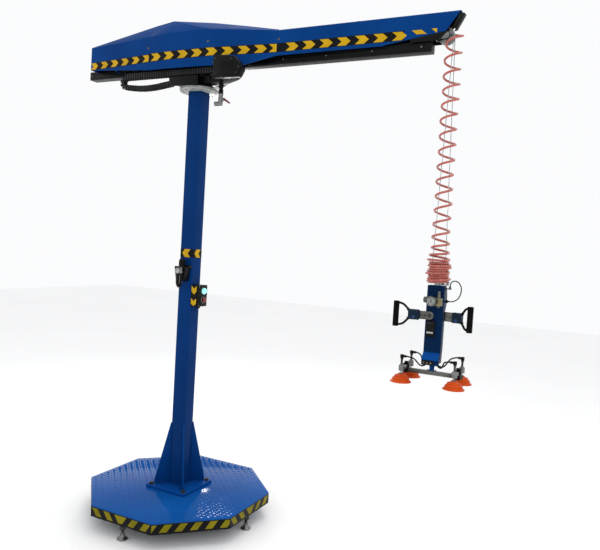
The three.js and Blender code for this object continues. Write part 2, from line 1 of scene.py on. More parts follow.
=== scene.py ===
"""Visual model of a column rope balancer with a vacuum gripper.

Metres, +Z up, +X along the boom. Places are distances from the column's axis, and AXIS is added when a piece is
made, because the part's origin lies under the middle of its length.
"""
from math import atan2, ceil, cos, hypot, pi, radians, sin, sqrt, tan

import bmesh
import bpy
from mathutils import Matrix, Vector
from mathutils.bvhtree import BVHTree


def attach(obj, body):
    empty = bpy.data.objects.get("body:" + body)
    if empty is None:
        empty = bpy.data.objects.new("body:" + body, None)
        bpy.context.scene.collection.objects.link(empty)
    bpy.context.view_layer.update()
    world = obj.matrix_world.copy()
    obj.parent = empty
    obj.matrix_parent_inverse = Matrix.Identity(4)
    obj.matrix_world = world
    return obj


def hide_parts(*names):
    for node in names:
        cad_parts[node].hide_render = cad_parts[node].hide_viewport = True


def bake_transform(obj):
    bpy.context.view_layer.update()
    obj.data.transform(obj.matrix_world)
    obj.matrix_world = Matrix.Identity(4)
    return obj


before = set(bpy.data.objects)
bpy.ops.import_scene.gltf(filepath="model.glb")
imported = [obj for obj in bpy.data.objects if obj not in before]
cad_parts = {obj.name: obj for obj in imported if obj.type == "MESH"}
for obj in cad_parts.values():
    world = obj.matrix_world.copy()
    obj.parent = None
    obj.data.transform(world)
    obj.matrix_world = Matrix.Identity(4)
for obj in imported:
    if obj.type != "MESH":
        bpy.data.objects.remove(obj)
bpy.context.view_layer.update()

AXIS = Vector((-0.4575, 0, 0))
GRIP = 1.626  # axis on which the gripper hangs
DECK, FLATS = 0.16, 1.1  # the platform's top, and its width across flats
CROSS, CUP_Y = 0.142, 0.088  # suction cups, from the gripper's axis
HUB = 1.224  # elbows on the plungers
DUST = (0.42, 0.41, 0.39)
X, Y, Z = (1, 0, 0), (0, 1, 0), (0, 0, 1)


# --- camera and light ---------------------------------------------------------------------------
def camera():
    """The photo's camera, fitted to the platform's corners, the column's edges and the boom's line."""
    place = (2.0295, -3.3547, 1.7799)
    ahead = Vector((-0.44705, 0.89342, -0.04408)).normalized()
    roll = radians(3.387)
    data = bpy.data.cameras.new("camera")
    data.lens = 37.99
    data.sensor_width = 36
    data.shift_x = -0.00225
    data.shift_y = -0.002
    data.clip_end = 100
    obj = bpy.data.objects.new("camera", data)
    bpy.context.scene.collection.objects.link(obj)
    right = ahead.cross(Vector(Z)).normalized()
    up = right.cross(ahead)
    across = right * cos(roll) + up * sin(roll)
    above = up * cos(roll) - right * sin(roll)
    turn = Matrix((across, above, -ahead)).transposed().to_4x4()
    obj.matrix_world = Matrix.Translation(place) @ turn
    bpy.context.scene.camera = obj


def studio():
    """Soft lights in a white room, and a window behind the part that glints in the deck."""
    for name, place, target, size, power in (
            ("key", (4.2, -4.6, 4.4), (0.2, 0, 1.4), (2.4, 2.4), 50),
            ("fill", (-4.4, -3.4, 2.6), (0, 0, 1.6), (3.0, 3.0), 12),
            ("top", (0.4, 0.6, 6.0), (0, 0, 0.5), (4.5, 3), 70),
            ("window", (-2.75, 3.9, 2.42), (-0.05, -0.2, 0.16), (0.5, 0.3), 17)):
        data = bpy.data.lights.new(name, "AREA")
        data.shape = "RECTANGLE"
        data.size, data.size_y = size
        data.energy = power
        obj = bpy.data.objects.new(name, data)
        obj.location = place
        obj.rotation_euler = (Vector(target) - Vector(place)).to_track_quat("-Z", "Y").to_euler()
        bpy.context.scene.collection.objects.link(obj)
    world = bpy.data.worlds.new("room")
    world.use_nodes = True
    sky = world.node_tree.nodes["Background"]
    sky.inputs["Color"].default_value = (0.965, 0.97, 0.98, 1)
    sky.inputs["Strength"].default_value = 1.0
    bpy.context.scene.world = world
    bpy.context.scene.view_settings.view_transform = "Standard"


def studio_floor():
    mesh = bpy.data.meshes.new("floor")
    size, z = 14.0, -0.0005
    mesh.from_pydata([(-size, -size, z), (size, -size, z), (size, size, z), (-size, size, z)], [], [(0, 1, 2, 3)])
    mesh.materials.append(MAT["floor"])
    obj = bpy.data.objects.new("floor", mesh)
    bpy.context.scene.collection.objects.link(obj)


# --- materials ----------------------------------------------------------------------------------
class Shader:
    """A material whose nodes are laid out one call at a time."""

    def __init__(self, name):
        self.mat = bpy.data.materials.new(name)
        self.mat.use_nodes = True
        self.tree = self.mat.node_tree
        self.coord = self.node("TexCoord", {}).outputs["Object"]

    def feed(self, node, inputs):
        """Sets a node's inputs to numbers, or joins them to other nodes' outputs."""
        for key, value in inputs.items():
            if isinstance(value, bpy.types.NodeSocket):
                self.tree.links.new(value, node.inputs[key])
            else:
                node.inputs[key].default_value = value

    def node(self, kind, inputs, **values):
        node = self.tree.nodes.new("ShaderNode" + kind)
        for key, value in values.items():
            setattr(node, key, value)
        self.feed(node, inputs)
        return node

    def noise(self, scale, detail=4, rough=0.55, stretch=(1, 1, 1)):
        place = self.node("Mapping", {"Scale": stretch, "Vector": self.coord}).outputs["Vector"]
        inputs = {"Scale": scale, "Detail": detail, "Roughness": rough, "Vector": place}
        return self.node("TexNoise", inputs).outputs["Fac"]

    def ramp(self, source, *stops):
        node = self.node("ValToRGB", {"Fac": source})
        for mark, (at, color) in zip(node.color_ramp.elements, stops):
            mark.position = at
            mark.color = (*color, 1) if hasattr(color, "__len__") else (color, color, color, 1)
        return node.outputs["Color"]

    def mix(self, where, amount, color, over):
        """Lays one colour over another where both masks let it."""
        factor = self.node("Math", {0: where, 1: amount}, operation="MULTIPLY").outputs[0]
        return self.node("Mix", {0: factor, 6: color, 7: (*over, 1)}, data_type="RGBA").outputs[2]

    def surface(self, **values):
        inputs = {key.replace("_", " "): value for key, value in values.items()}
        self.feed(self.tree.nodes["Principled BSDF"], inputs)

    def bump(self, height, strength, distance):
        node = self.node("Bump", {"Strength": strength, "Distance": distance, "Height": height})
        self.surface(Normal=node.outputs["Normal"])


def worn(name, dark, light, rough, scale, grain, bump=0.1, depth=0.0003, edge=None, dust=0.0, stretch=(1, 1, 1),
         gloss=0.5, **fixed):
    """Two tones in clouds, roughness that varies, fine grain in the bump, worn edges and settled dust."""
    s = Shader(name)
    color = s.ramp(s.noise(scale), (0.32, dark), (0.68, light))
    if edge:
        scuffs = s.ramp(s.noise(55, 9, 0.72, (1, 1, 0.35)), (0.66, 0.0), (0.74, 0.75))
        places = s.ramp(s.noise(2.2, 3, 0.6), (0.48, 0.0), (0.62, 1.0))
        color = s.mix(scuffs, places, color, edge)
    if dust:
        normal = s.node("NewGeometry", {}).outputs["Normal"]
        level = s.ramp(s.node("SeparateXYZ", {0: normal}).outputs["Z"], (0.6, 0.0), (1.0, 1.0))
        patches = s.ramp(s.noise(14, 6, 0.7), (0.35, 0.0), (0.8, dust))
        color = s.mix(level, patches, color, DUST)
    spread = s.noise(scale * 4 + 7, 5, 0.6, stretch)
    s.surface(Base_Color=color, Roughness=s.ramp(spread, (0.3, rough[0]), (0.7, rough[1])),
              Specular_IOR_Level=gloss, **fixed)
    s.bump(s.noise(grain, 3, 0.5, stretch), bump, depth)
    return s.mat


def cloudy(name, tones, tone_scale, rough, rough_scale, **fixed):
    """Clean material: two tones in clouds, and roughness that varies."""
    s = Shader(name)
    s.surface(Base_Color=s.ramp(s.noise(tone_scale), (0.3, tones[0]), (0.7, tones[1])),
              Roughness=s.ramp(s.noise(rough_scale), (0.3, rough[0]), (0.7, rough[1])), **fixed)
    return s


def materials():
    brushed = dict(Metallic=1.0, depth=0.0002)
    paint = dict(grain=420, gloss=0.03)
    m = {
        "blue": worn("blue_paint", (0.0012, 0.034, 0.160), (0.0020, 0.044, 0.195), (0.17, 0.30), 3,
                     edge=(0.05, 0.11, 0.24), dust=0.015, **paint),
        "deck": worn("deck_paint", (0.003, 0.066, 0.27), (0.005, 0.084, 0.33), (0.07, 0.10), 2.4, 300, 0.015,
                     edge=(0.16, 0.24, 0.38), dust=0.003, gloss=0.05),
        "body": worn("body_paint", (0.0012, 0.012, 0.046), (0.002, 0.017, 0.062), (0.20, 0.34), 6,
                     edge=(0.015, 0.05, 0.15), dust=0.01, **paint),
        "navy": worn("navy_paint", (0.0012, 0.024, 0.115), (0.0018, 0.032, 0.145), (0.17, 0.30), 3,
                     edge=(0.04, 0.09, 0.20), dust=0.015, **paint),
        # brighter blue: the flange plate's paint, and painted light on the gripper's sloping front
        "bright_blue": worn("bright_blue_and_painted_light", (0.002, 0.046, 0.22), (0.003, 0.060, 0.27), (0.20, 0.32), 6,
                     edge=(0.10, 0.16, 0.28), **paint),
        "black": worn("black_paint", (0.0022, 0.0022, 0.0025), (0.0042, 0.0042, 0.0048), (0.30, 0.46), 6, 300,
                      0.14, edge=(0.022, 0.023, 0.026), dust=0.01, gloss=0.12),
        "plastic": worn("black_plastic", (0.0022, 0.0022, 0.0025), (0.0048, 0.0048, 0.005), (0.38, 0.55), 12,
                        900, 0.22, dust=0.01, gloss=0.12),
        # lighter grey plastic, used for the chain links' ribs only
        "rib": worn("lighter_rib_plastic", (0.030, 0.032, 0.035), (0.055, 0.058, 0.062), (0.45, 0.6), 12, 900, 0.22,
                    gloss=0.12),
        "hose": worn("black_hose", (0.002, 0.002, 0.0025), (0.0045, 0.0045, 0.005), (0.25, 0.38), 20, 700,
                     depth=0.0002, gloss=0.14),
        "rubber": worn("grip_rubber", (0.0015, 0.0015, 0.0015), (0.0035, 0.0035, 0.0035), (0.55, 0.75), 25,
                       1200, 0.35, 0.0004, dust=0.005, gloss=0.06),
        "steel": worn("steel", (0.26, 0.27, 0.28), (0.42, 0.43, 0.44), (0.24, 0.42), 14, 700, 0.18,
                      stretch=(1, 1, 5), **brushed),
        "alloy": worn("light_alloy", (0.17, 0.18, 0.175), (0.28, 0.29, 0.285), (0.28, 0.46), 16, 600, 0.16,
                      edge=(0.42, 0.43, 0.43), stretch=(5, 1, 1), **brushed),
        "bar": worn("bar_alloy", (0.085, 0.088, 0.080), (0.145, 0.148, 0.138), (0.30, 0.48), 22, 600, 0.16,
                    edge=(0.34, 0.34, 0.33), stretch=(5, 1, 1), **brushed),
        "enamel": worn("white_enamel", (0.27, 0.29, 0.265), (0.37, 0.39, 0.36), (0.22, 0.38), 7, 320, 0.12,
                       edge=(0.22, 0.23, 0.22), dust=0.05, gloss=0.35),
        "iron": worn("cast_iron", (0.018, 0.019, 0.021), (0.040, 0.042, 0.045), (0.45, 0.7), 9, 220, 0.5, 0.001,
                     Metallic=0.6),
        "zinc": worn("zinc", (0.15, 0.15, 0.145), (0.27, 0.27, 0.26), (0.32, 0.5), 30, 500, 0.2, Metallic=1.0),
        "dark": worn("dark_zinc", (0.035, 0.036, 0.036), (0.08, 0.08, 0.078), (0.34, 0.52), 30, 500, 0.2,
                     Metallic=1.0),
        "brass": worn("brass", (0.20, 0.175, 0.10), (0.31, 0.27, 0.16), (0.26, 0.44), 20, 500, 0.15, **brushed),
        "teal": worn("teal_sleeve", (0.0012, 0.0085, 0.020), (0.002, 0.014, 0.032), (0.32, 0.5), 18, 700, 0.25,
                     edge=(0.02, 0.05, 0.07), gloss=0.12),
        "orange": worn("orange_rubber", (0.45, 0.045, 0.003), (0.58, 0.072, 0.005), (0.34, 0.5), 20, 500, 0.12,
                       gloss=0.12, Subsurface_Weight=0.2, Subsurface_Radius=(0.01, 0.003, 0.001),
                       Subsurface_Scale=1.0),
        "red": worn("red_plastic", (0.10, 0.005, 0.006), (0.17, 0.008, 0.009), (0.2, 0.34), 15, 500,
                    depth=0.0002, edge=(0.25, 0.05, 0.05)),
        "yellow": worn("yellow_vinyl", (0.46, 0.27, 0.004), (0.58, 0.35, 0.007), (0.30, 0.45), 10, 300,
                       depth=0.0002, gloss=0.12),
        # the yellow vinyl darkened for the skirt's stripes: painted shade
        "shaded_yellow": worn("shaded_vinyl", (0.15, 0.125, 0.003), (0.22, 0.185, 0.005), (0.35, 0.55), 8, 300, 0.12,
                      0.0002, gloss=0.08),
        "vinyl": worn("black_vinyl", (0.0022, 0.0022, 0.003), (0.005, 0.005, 0.006), (0.30, 0.45), 10, 300,
                      depth=0.0002, gloss=0.10),
        "paper": worn("label_film", (0.32, 0.33, 0.32), (0.42, 0.43, 0.42), (0.4, 0.55), 30, 300, 0.08, 0.0002),
        "floor": worn("studio_floor", (0.92, 0.92, 0.92), (0.94, 0.94, 0.94), (0.6, 0.75), 0.7, 60, 0.05,
                      0.0004),
        "glass": cloudy("gauge_glass", ((0.9, 0.93, 0.93), (0.97, 1, 1)), 40, (0.03, 0.1), 60,
                        Transmission_Weight=1.0, IOR=1.45).mat,
    }
    # cloudy polyurethane that lets light a little way in, and a lit lens
    coil = cloudy("coil_hose", ((0.42, 0.085, 0.065), (0.56, 0.15, 0.11)), 30, (0.16, 0.3), 60,
                  Subsurface_Weight=0.35, Subsurface_Radius=(0.012, 0.004, 0.003), Subsurface_Scale=1.0,
                  Transmission_Weight=0.18, IOR=1.5, Coat_Weight=0.3, Coat_Roughness=0.1)
    coil.bump(coil.noise(500), 0.05, 0.0002)
    lamp = cloudy("green_lamp", ((0.02, 0.45, 0.34), (0.05, 0.85, 0.66)), 90, (0.08, 0.2), 120,
                  Emission_Strength=1.6)
    glow = lamp.ramp(lamp.noise(70), (0.2, (0.10, 0.75, 0.58)), (0.8, (0.45, 1.0, 0.86)))
    lamp.surface(Emission_Color=glow)
    return m | {"coil": coil.mat, "lamp": lamp.mat}


# --- shells: closed surfaces that a piece is gathered from ----------------------------------------
def circle(count, r, start=0.0, u=0.0, v=0.0):
    """Points on a circle. start is in degrees."""
    turns = [radians(start) + 2 * pi * i / count for i in range(count)]
    return [(u + r * cos(a), v + r * sin(a)) for a in turns]


def hexagon(r, u=0.0, v=0.0):
    return circle(6, r, 0, u, v)


def skinned(rings, loop=False):
    """A closed surface over rings of points. One point alone is a tip; with loop, the last ring meets the first."""
    shell = bmesh.new()
    rows = [[shell.verts.new(p) for p in ring] for ring in rings]
    count = max(len(row) for row in rows)
    for low, high in zip(rows, rows[1:] + rows[:loop]):
        for i in range(count):
            j = (i + 1) % count
            corners = (low[i % len(low)], low[j % len(low)], high[j % len(high)], high[i % len(high)])
            corners = list(dict.fromkeys(corners))
            if len(corners) > 2:
                shell.faces.new(corners)
    for row in () if loop else (rows[0], rows[-1]):
        if len(row) > 2:
            shell.faces.new(row)
    bmesh.ops.recalc_face_normals(shell, faces=shell.faces)
    return shell


def moved(shell, matrix):
    bmesh.ops.transform(shell, matrix=matrix, verts=shell.verts)
    return shell


def slab(points, a, b, axis="z"):
    """A flat outline given depth. Outlines: (x, y) for z, (x, z) for y, (y, z) for x."""
    order = {"z": lambda u, v, w: (u, v, w), "y": lambda u, v, w: (u, w, v), "x": lambda u, v, w: (w, u, v)}[axis]
    return skinned([[order(u, v, w) for u, v in points] for w in (a, b)])


def cuboid(x0, x1, y0, y1, z0, z1):
    return slab([(x0, y0), (x1, y0), (x1, y1), (x0, y1)], z0, z1)


def patch(corners, low, high, out):
    """A thin slab over corner points, from low to high along out."""
    return skinned([[Vector(c) + Vector(out) * h for c in corners] for h in (low, high)])


def placed(shell, place, direction):
    """Turns a shell's +Z to a direction and moves it to its place."""
    turn = Vector(Z).rotation_difference(Vector(direction).normalized())
    return moved(shell, Matrix.Translation(place) @ turn.to_matrix().to_4x4())


def turned(profile, place=(0, 0, 0), direction=Z, sides=32, loop=False):
    """A profile of (radius, height) turned round its axis. With loop it is closed and makes a ring."""
    rings = [[(x, y, h) for x, y in circle(sides, r)] if r > 1e-6 else [(0, 0, h)] for r, h in profile]
    return placed(skinned(rings, loop), place, direction)


def disc(r, low, high, place, direction, sides):
    return turned([(0, low), (r, low), (r, high), (0, high)], place, direction, sides)


def rod(a, b, r, chamfer=0.0, sides=24):
    """A round bar from a to b, its ends chamfered."""
    ahead = Vector(b) - Vector(a)
    c, long = chamfer, ahead.length
    side = [(r - c, 0), (r, c), (r, long - c), (r - c, long)] if c else [(r, 0), (r, long)]
    return turned([(0, 0), *side, (0, long)], a, ahead, sides)


def swept(points, radius, sides=10):
    """A tube along points. radius is one number or one for each point."""
    points = [Vector(p) for p in points]
    radii = radius if hasattr(radius, "__len__") else [radius] * len(points)
    rings = []
    side = None
    for i, p in enumerate(points):
        ahead = (points[min(i + 1, len(points) - 1)] - points[max(i - 1, 0)]).normalized()
        if side is None:
            side = ahead.orthogonal()
        side = (side - ahead * side.dot(ahead)).normalized()
        other = ahead.cross(side)
        rings.append([p + side * u + other * v for u, v in circle(sides, radii[i])])
    return skinned(rings)


def bead(points, r, waver, beat):
    """A weld: a thin tube whose thickness wavers."""
    return swept(points, [r + waver * sin(k * beat) for k in range(len(points))], 6)


def smooth_path(points, steps=6):
    """Points along a curve through the given ones."""
    pts = [Vector(p) for p in points]
    ends = [pts[0] * 2 - pts[1], *pts, pts[-1] * 2 - pts[-2]]
    out = []
    for i in range(1, len(ends) - 2):
        a, b, c, d = ends[i - 1:i + 3]
        for k in range(steps):
            t = k / steps
            out.append(0.5 * (2 * b + (c - a) * t + (2 * a - 5 * b + 4 * c - d) * t * t
                              + (3 * b - a - 3 * c + d) * t * t * t))
    return [*out, pts[-1]]


def hexagon_head(place, direction, across, high, washer=0.0):
    """A hexagon bolt head with its chamfer, on a washer."""
    base = 0.0022 if washer else 0.0
    r = across / sqrt(3)
    levels = ((r, base), (r, base + high * 0.86), (r * 0.86, base + high))
    shells = [placed(skinned([[(x, y, h) for x, y in hexagon(w)] for w, h in levels]), place, direction)]
    if washer:
        profile = [(0, 0), (washer, 0), (washer, base * 0.7), (washer * 0.96, base), (0, base)]
        shells.append(turned(profile, place, direction, 24))
    return shells


def socket_head(place, direction, r, high):
    """A cap screw's head with its hexagon hole as a shallow recess."""
    profile = [(0, 0), (r, 0), (r, high * 0.85), (r * 0.88, high), (r * 0.52, high), (r * 0.5, high * 0.45),
               (0, high * 0.45)]
    return turned(profile, place, direction, 18)


def dome(place, direction, r, high):
    """A low rounded head, such as a rivet's."""
    profile = [(0, -0.3), (1, -0.3), (1, 0.15), (0.82, 0.62), (0.45, 0.93), (0, 1)]
    return turned([(r * w, high * h) for w, h in profile], place, direction, 16)


def from_cad(node):
    """A clean copy of a CAD node's surface, in distances from the column's axis."""
    shell = bmesh.new()
    shell.from_mesh(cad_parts[node].data)
    bmesh.ops.remove_doubles(shell, verts=shell.verts, dist=1e-5)
    bmesh.ops.dissolve_limit(shell, angle_limit=radians(1.0), verts=shell.verts, edges=shell.edges)
    bmesh.ops.recalc_face_normals(shell, faces=shell.faces)
    bmesh.ops.translate(shell, vec=-AXIS, verts=shell.verts)
    return shell


class Piece:
    """One mesh made of closed shells, each with its own material, written from a place of its own."""

    def __init__(self, x=0.0, y=0.0, z=0.0, turn=0.0):
        self.bm = bmesh.new()
        self.mats = []
        self.put = Matrix.Translation(Vector((x, y, z)) + AXIS) @ Matrix.Rotation(turn, 4, "Z")

    def add(self, mat, *shells, bevel=0.0, segments=2, angle=28):
        """Takes in shells, or lists of them, after rounding the edges that are sharper than angle."""
        if mat not in self.mats:
            self.mats.append(mat)
        for shell in shells:
            if isinstance(shell, list):
                self.add(mat, *shell, bevel=bevel, segments=segments, angle=angle)
                continue
            if bevel:
                edges = [e for e in shell.edges
                         if len(e.link_faces) == 2 and e.calc_face_angle(0) > radians(angle)]
                bmesh.ops.bevel(shell, geom=edges, offset=bevel, offset_type="OFFSET", segments=segments,
                                profile=0.5, affect="EDGES", clamp_overlap=True)
            for face in shell.faces:
                face.material_index = self.mats.index(mat)
            mesh = bpy.data.meshes.new("shell")
            shell.to_mesh(mesh)
            shell.free()
            self.bm.from_mesh(mesh)
            bpy.data.meshes.remove(mesh)
        return self

    def done(self, name, body, slot, *nodes, sharp=32, blend=None):
        """Makes the object, puts it on its body, or with blend bakes its place into the mesh, and hides the CAD nodes
        it replaces.
        """
        mesh = bpy.data.meshes.new(name)
        moved(self.bm, self.put).to_mesh(mesh)
        self.bm.free()
        for mat in self.mats:
            mesh.materials.append(MAT[mat])
        mesh.polygons.foreach_set("use_smooth", [True] * len(mesh.polygons))
        mesh.set_sharp_from_angle(angle=radians(sharp))
        obj = bpy.data.objects.new(name, mesh)
        bpy.context.scene.collection.objects.link(obj)
        if blend:
            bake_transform(obj)
        else:
            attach(obj, body)
        if nodes:
            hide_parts(*nodes)
        return obj


MAT = materials()


# --- cords ---------------------------------------------------------------------------------------
COIL_RADIUS = 0.0425
# heights at which the coil passes its point nearest to the boom's tip, from the top down, and then in the heap
COIL_TURNS = [2.925, 2.838, 2.752, 2.674, 2.597, 2.520, 2.439, 2.358, 2.277, 2.199, 2.122, 2.045, 1.970, 1.898,
              1.834, 1.787, 1.752]
HEAP = [1.736, 1.7225, 1.7095, 1.6965, 1.6835, 1.6705, 1.6575, 1.6445, 1.6325, 1.6285]


def ropes():
    top, low = 2.928, 1.712
    for name, s in (("rope_near", -1), ("rope_far", 1)):
        a = Vector((GRIP, 0.012 * s, top))
        b = Vector((GRIP + 0.03 * s, 0.022 * s, low))
        route = [a.lerp(b, i / 24) for i in range(25)]
        obj = Piece().add("steel", swept(route, 0.002)).done(
            name + "_wire", "ropes", "steel", name,
            blend=("ropes", "hoist", (GRIP + AXIS.x, 0, 2.93), (GRIP + AXIS.x, 0, 1.70)))


def limited(value):
    return min(1.0, max(0.0, value))


def coil_route():
    """From the fitting in the tip, down the stretched turns, round the heap and into its elbow."""
    route = [Vector((1.578, 0.0435, 2.9475)), Vector((1.590, 0.0432, 2.947)), Vector((1.603, 0.0430, 2.946))]
    per = 18  # points on a turn
    mouth = 2.9475  # no turn rises above the fitting
    marks = [2.925 + 0.087] + COIL_TURNS + HEAP
    total = len(marks) - 1
    for step in range(total * per):
        k, f = step // per, step // per + step % per / per
        if f < 0.75:
            continue
        high = marks[k] + (marks[k + 1] - marks[k]) * (step % per) / per
        if f < 1.02:
            high = min(high, mouth)
        # from the stretched turns (0) to the wider, uneven ones of the heap (1)
        ease = limited((f - len(COIL_TURNS) + 1.2) / 1.6)
        wobble = 0.006 * sin(2.3 * f + 0.6) + 0.004 * sin(5.1 * f)
        radius = COIL_RADIUS + 0.0035 * limited((f - 11) / 5) + ease * (0.009 + wobble)
        # the last half turn runs out to the elbow
        ending = limited((f - total + 0.5) / 0.5)
        radius += (0.053 - radius) * ending * ending * (3 - 2 * ending)
        angle = -2 * pi * (f - 1)
        tilt = ease * (1 - ending) * 0.004 * sin(angle + 0.3 * f)
        sway = 0.0012 * (1 - ending) * sin(1.7 * f)
        route.append(Vector((GRIP + sway + radius * cos(angle), radius * sin(angle), high + tilt)))
    return [*route, Vector((GRIP + 0.053, 0.0, marks[-1]))]


def coil_hose():
    route = coil_route()
    obj = Piece().add("coil", swept(route, 0.0062, 12)).done(
        "coiled_hose", "ropes", "red_hose", "coil_hose", sharp=60,
        blend=("ropes", "hoist", (GRIP + AXIS.x, 0, 2.95), (GRIP + AXIS.x, 0, 1.655)))
    a = route[0]
    top = Piece().add("alloy", rod(a + Vector((0.006, 0, 0)), a - Vector((0.012, 0, 0)), 0.0085, 0.001))
    top.add("alloy", slab(hexagon(0.0095, a.y, a.z), a.x - 0.022, a.x - 0.010, "x"), bevel=0.0008)
    fitting = top.done("hose_fitting_top", "ropes", "light_alloy")


def small_hoses():
    """The loop line beside the gripper, and the four vacuum lines from its foot to the cups."""
    knots = [(0.068, 0, 1.6124), (0.069, 0, 1.622), (0.078, 0.001, 1.637), (0.095, 0.004, 1.641),
             (0.112, 0.008, 1.632), (0.124, 0.014, 1.608), (0.122, 0.020, 1.578), (0.110, 0.026, 1.550),
             (0.088, 0.031, 1.533), (0.070, 0.032, 1.5284), (0.0564, 0.032, 1.528)]
    route = smooth_path([(GRIP + x, y, z) for x, y, z in knots])
    obj = Piece().add("hose", swept(route, 0.003, 12)).done("loop_line", "gripper", "black_hose", "loop_hose")
    for tag, sx, sy in (("fl", -1, -1), ("bl", -1, 1), ("fr", 1, -1), ("br", 1, 1)):
        cup, y, port = CROSS * sx, sy * CUP_Y, 0.006 * sy
        knots = [(cup - sx * 0.0244, y, HUB), (cup - sx * 0.032, y, HUB), (cup - sx * 0.060, y * 0.78, HUB - 0.010),
                 (sx * 0.060, y * 0.34, 1.179), (sx * 0.042, y * 0.16, 1.1755), (sx * 0.027, port, 1.1866),
                 (sx * 0.0192, port, 1.1875)]
        route = smooth_path([(GRIP + x, y, z) for x, y, z in knots])
        arm = "arm_l" if sx < 0 else "arm_r"
        middle = GRIP + AXIS.x
        obj = Piece().add("hose", swept(route, 0.004, 12)).done(
            "vacuum_line_" + tag, arm, "black_hose", "vacuum_hose_" + tag,
            blend=("suction", arm, (middle + sx * 0.02, 0, 1.19), (middle + cup - sx * 0.0244, 0, 1.19)))


# --- tape: thin slabs laid on a CAD node's surface --------------------------------------------------
class Skin:
    """Finds the covers' outer surface, so that tape and rivets lie on it."""

    def __init__(self):
        shell = bmesh.new()
        for node in ("rear_cover", "mid_cover", "front_cover"):
            shell.from_mesh(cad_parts[node].data)
        bmesh.ops.translate(shell, vec=-AXIS, verts=shell.verts)
        self.tree = BVHTree.FromBMesh(shell)
        shell.free()

    def side(self, x, z, s):
        return self.tree.ray_cast(Vector((x, s, z)), Vector((0, -s, 0)))[:2]

    def top(self, x, y):
        return self.tree.ray_cast(Vector((x, y, 4.0)), Vector((0, 0, -1)))[:2]


def chevron(x, low, high, wide, point):
    """Lower and upper half of an arrow that points to +X."""
    mid = (low + high) / 2
    return ([(x, low), (x + wide, low), (x + wide + point, mid), (x + point, mid)],
            [(x + point, mid), (x + wide + point, mid), (x + wide, high), (x, high)])


def trimmed(points, keep):
    """The part of a polygon where keep is not negative."""
    out = []
    for a, b in zip(points, points[1:] + points[:1]):
        ka, kb = keep(*a), keep(*b)
        if ka >= 0:
            out.append(a)
        if (ka >= 0) != (kb >= 0):
            t = ka / (ka - kb)
            out.append((a[0] + (b[0] - a[0]) * t, a[1] + (b[1] - a[1]) * t))
    return out


def clipped(points, low, high):
    """A polygon cut to low <= u <= high."""
    return trimmed(trimmed(points, lambda u, v: u - low), lambda u, v: high - u)


def worth_laying(points):
    """Whether a piece of film is more than a sliver."""
    area = sum(a[0] * b[1] - b[0] * a[1] for a, b in zip(points, points[1:] + points[:1])) / 2
    return len(points) > 2 and abs(area) > 1e-6


def boom_tape(skin, s, name):
    """Film along the covers' sides, cut at every crease, with arrows on it."""
    piece = Piece()
    # for each cover: where it is creased, where its arrows start, and from arrow to arrow
    covers = (([-0.8475, -0.3035], [-0.8465 + 0.0978 * i for i in range(5)] + [-0.357], 0.092),
              ([-0.3015, -0.15, 0.16, 0.40, 0.545, 0.6015], [-0.284 + 0.1064 * i for i in range(8)] + [0.554], 0.1064),
              ([0.6035, 1.60], [0.661 + 0.1064 * i for i in range(9)], 0.1064))

    # the tape's lower and upper edge
    def low(x):
        return 2.8945 + 0.006 * (x + 0.848) if x < -0.3025 else 2.899 + 0.0145 * max(0, x - 0.3)

    def high(x):
        return 2.9445 + 0.005 * (x + 0.848) if x < -0.3025 else 2.9515 + 0.0125 * max(0, x - 0.3)

    def lay(points, stops, bottom, top, mat):
        """Lays film in short cells, so that it bends at the creases, and ends it at the mouth's slant."""
        points = trimmed(points, lambda x, z: 1.5490 + (z - 2.896) * 0.705 - x)
        for a, b in zip(stops, stops[1:]):
            count = max(1, ceil((b - a) / 0.03))
            for i in range(count):
                cell = clipped(points, a + (b - a) * i / count, a + (b - a) * (i + 1) / count)
                if not worth_laying(cell):
                    continue
                corners = [skin.side(x, z, s)[0] for x, z in cell]
                if None not in corners:
                    piece.add(mat, patch(corners, bottom, top, (0, s, 0)))

    for stops, places, period in covers:
        for a, b in zip(stops, stops[1:]):
            lay([(a, low(a)), (b, low(b)), (b, high(b)), (a, high(a))], [a, b], -0.0012, 0.0006, "vinyl")
    for stops, places, period in covers:
        for x in places:
            for half in chevron(x, low(x) + 0.003, high(x) - 0.003, period * 0.5, period * 0.26):
                lay(half, stops, 0.0003, 0.0013, "yellow")
    piece.done(name, "boom", "black_metal")


# --- platform -------------------------------------------------------------------------------------
def octagon():
    """For each of the deck's sides: its number, its middle's direction and the way along it."""
    for i in range(8):
        a = i * pi / 4
        yield i, Vector((cos(a), sin(a), 0)), Vector((-sin(a), cos(a), 0))


def lozenge(x, y, turn):
    """One raised bar of tread plate."""
    c, s = cos(turn), sin(turn)
    long, wide = 0.0105, 0.0034
    rim = [(-long, 0), (-long * 0.55, -wide), (long * 0.55, -wide), (long, 0), (long * 0.55, wide),
           (-long * 0.55, wide)]
    return skinned([[(x + u * c - v * s, y + u * s + v * c, DECK + h)
                     for u, v in ((u * along, v * across) for u, v in rim)]
                    for along, across, h in ((1, 1, -0.0006), (0.72, 0.55, 0.0014))])


